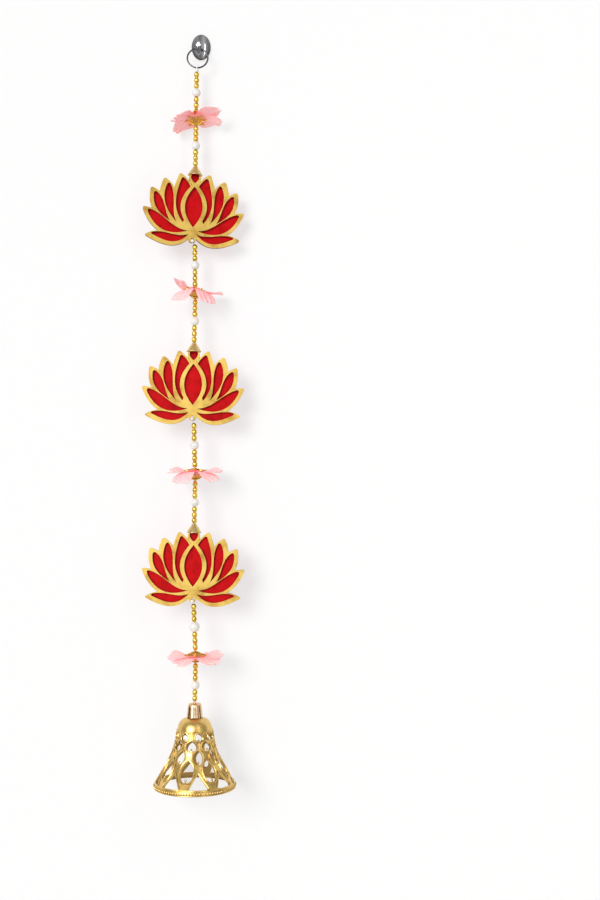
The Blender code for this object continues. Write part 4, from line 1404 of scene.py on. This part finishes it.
class TORAN_OT_lotuses(Operator):
    """Makes the lotus plates with their cone caps"""
    bl_idname = "toran.lotuses"
    bl_label = "Lotus plates"

    def execute(self, context):
        hub = lowered(CONE_HEIGHT + LOTUS_RIM_Z)
        front = lotus_front()
        layers = (
            ("lotus_face", "gold_lotus", "gold_face", "lotus_gold", gold_area, LOTUS_FACE, front, 1.0),
            ("lotus_back", "red_lotus", "red_backing", "red_lacquer", backing_area, LOTUS_BACKING,
             front + LOTUS_FACE + GAP, LOTUS_BACK_SCALE),
        )
        for number in range(1, LOTUSES + 1):
            place = lotus_place(number)
            for node, name, slot, finish, keep, thickness, depth, scale in layers:
                shape = cut_plate(keep, thickness, depth, scale)
                looks = [finish, "burnt_edge"]
                piece(f"{name}_{number}", shape, looks, [f"{node}_{number}"], 18.0, place @ hub)
            outer = [(radius, -drop) for radius, drop in CONE_PROFILE]
            inner = [(radius - CONE_WALL, -drop) for radius, drop in reversed(CONE_PROFILE[3:])]
            cone = spun(outer + inner + [(0.8, -1.2), (0.8, 0.0)], 64, True)
            absorb(cone, hoop(7.1, 0.42, 64), lowered(8.7))
            absorb(cone, hoop(2.45, 0.3, 40), lowered(0.9))
            node = f"cone_cap_{number}"
            piece(f"satin_cone_{number}", cone, ["satin_gold"], [node], 50.0, place)
        return {"FINISHED"}


class TORAN_OT_bell(Operator):
    """Makes the pierced bell and its crown"""
    bl_idname = "toran.bell"
    bl_label = "Bell"

    def execute(self, context):
        top = line_point(BELL_TOP)
        place = Matrix.Translation(top)
        piece("pierced_bell", bell_shape(), ["bell_gold", "inner_gold_painted_shade"], ["bell"], 38.0, place)
        place = Matrix.Translation(top + Vector((0.0, 0.0, CROWN_HEIGHT + GAP)))
        looks = ["crown_gold", "inner_gold_painted_shade"]
        piece("slotted_crown", crown_shape(), looks, ["bell_crown"], 38.0, place)
        return {"FINISHED"}


def light(name, kind, place, aim, **settings):
    """A light that looks from a place to a point."""
    data = bpy.data.lights.new(name, kind)
    for key, value in settings.items():
        setattr(data, key, value)
    item = shown(name, data)
    item.location = place
    item.rotation_euler = (Vector(aim) - Vector(place)).to_track_quat("-Z", "Y").to_euler()


def stage_plane(name, size, matrix, material):
    """A flat piece of the stage."""
    shape = bmesh.new()
    bmesh.ops.create_grid(shape, x_segments=1, y_segments=1, size=size)
    move(shape, matrix)
    shown(name, mesh_from(name, shape, material))


class TORAN_OT_stage(Operator):
    """Sets up the camera, the light, the wall and the floor"""
    bl_idname = "toran.stage"
    bl_label = "Stage"

    def execute(self, context):
        stage = context.scene.toran_stage
        wall = stage_finish("wall_paint", tuple(stage.wall), stage.glow, True)
        stage_plane("wall", WALL_SIZE, Matrix.Translation(WALL_MIDDLE) @ UPRIGHT, wall)
        floor = stage_finish("floor_paint", FLOOR_COLOUR, 0.0, False)
        stage_plane("floor", FLOOR_SIZE, Matrix.Translation((0.0, 0.0, FLOOR_Z)), floor)
        light("key", "SUN", (0.0, 0.0, 0.0), KEY_HEADING,
              energy=stage.key, angle=radians(KEY_SPREAD), color=KEY_COLOUR)
        for name, place, aim, width, height, share in CARDS:
            light(name, "AREA", place, aim, shape="RECTANGLE", size=width, size_y=height,
                  energy=stage.card * share, color=CARD_COLOUR)
        world = bpy.data.worlds.new("sky")
        world.use_nodes = True
        background = world.node_tree.nodes["Background"]
        background.inputs["Color"].default_value = (*SKY_COLOUR, 1.0)
        background.inputs["Strength"].default_value = stage.sky
        context.scene.world = world
        data = bpy.data.cameras.new("camera")
        data.lens = CAMERA_LENS
        camera = shown("camera", data)
        camera.location = CAMERA_PLACE
        camera.rotation_euler = (radians(90), 0.0, 0.0)
        context.scene.camera = camera
        context.scene.view_settings.view_transform = "Standard"
        return {"FINISHED"}


class TORAN_PT_panel(Panel):
    """Lists the pieces of the door hanging"""
    bl_idname = "TORAN_PT_panel"
    bl_label = "Toran door hanging"
    bl_space_type = "VIEW_3D"
    bl_region_type = "UI"
    bl_category = "Toran"

    def draw(self, context):
        for name in SETTINGS:
            group = getattr(context.scene, name)
            for key in group.bl_rna.properties.keys():
                if key not in ("rna_type", "name"):
                    self.layout.prop(group, key)
        for operator in OPERATORS:
            self.layout.operator(operator.bl_idname)


SETTINGS = {
    "toran_beads": ToranBeadSettings,
    "toran_cloth": ToranClothSettings,
    "toran_lotus": ToranLotusSettings,
    "toran_metal": ToranMetalSettings,
    "toran_stage": ToranStageSettings,
}
OPERATORS = (
    TORAN_OT_stage,
    TORAN_OT_hook,
    TORAN_OT_ring,
    TORAN_OT_beads,
    TORAN_OT_pearls,
    TORAN_OT_blossoms,
    TORAN_OT_lotuses,
    TORAN_OT_bell,
)
FINISHES = {}


def make_finishes(scene):
    """The materials, from the colours in the panel."""
    metal = scene.toran_metal
    FINISHES.update(
        chrome=chrome_finish(),
        nylon=nylon_finish(),
        gold_bead=bead_finish(scene.toran_beads.gold),
        pearl=pearl_finish(),
        white_bead=white_bead_finish(),
        pink_cloth=cloth_finish(scene.toran_cloth.edge, scene.toran_cloth.heart),
        lotus_gold=lotus_gold_finish(scene.toran_lotus.gold),
        red_lacquer=red_finish(scene.toran_lotus.red),
        burnt_edge=burnt_edge_finish(),
    )
    metals = (
        # name, tone of the painted shade in its hollows, colour, roughness, size of its patches
        ("filigree", (0.46, 0.3, 0.16), metal.filigree, 0.16, 0.003),
        ("satin_gold", (0.4, 0.26, 0.14), metal.cone, 0.26, 0.004),
        ("crown_gold", (0.3, 0.16, 0.08), (0.86, 0.6, 0.34), 0.18, 0.004),
        ("bell_gold", (0.3, 0.16, 0.05), metal.bell, 0.22, 0.006),
        # A darker gold for the faces inside the bell and crown: painted shade
        ("inner_gold_painted_shade", (0.3, 0.18, 0.08), (0.42, 0.25, 0.07), 0.3, 0.006),
        ("ring_steel", (0.4, 0.4, 0.4), (0.11, 0.11, 0.12), 0.16, 0.003),
        # The arm's dark tone is a painted reflection of the chrome, not its own colour
        ("arm_chrome_painted_dark_reflection", (0.3, 0.3, 0.3), (0.2, 0.2, 0.21), 0.14, 0.003),
    )
    for row in metals:
        FINISHES[row[0]] = gold_metal_finish(*row)


def register():
    for name, group in SETTINGS.items():
        bpy.utils.register_class(group)
        setattr(bpy.types.Scene, name, PointerProperty(type=group))
    for operator in OPERATORS:
        bpy.utils.register_class(operator)
    bpy.utils.register_class(TORAN_PT_panel)


def unregister():
    bpy.utils.unregister_class(TORAN_PT_panel)
    for operator in reversed(OPERATORS):
        bpy.utils.unregister_class(operator)
    for name, group in SETTINGS.items():
        delattr(bpy.types.Scene, name)
        bpy.utils.unregister_class(group)


def main():
    register()
    make_finishes(bpy.context.scene)
    for operator in OPERATORS:
        group, name = operator.bl_idname.split(".")
        getattr(getattr(bpy.ops, group), name)()


if __name__ == "__main__":
    main()
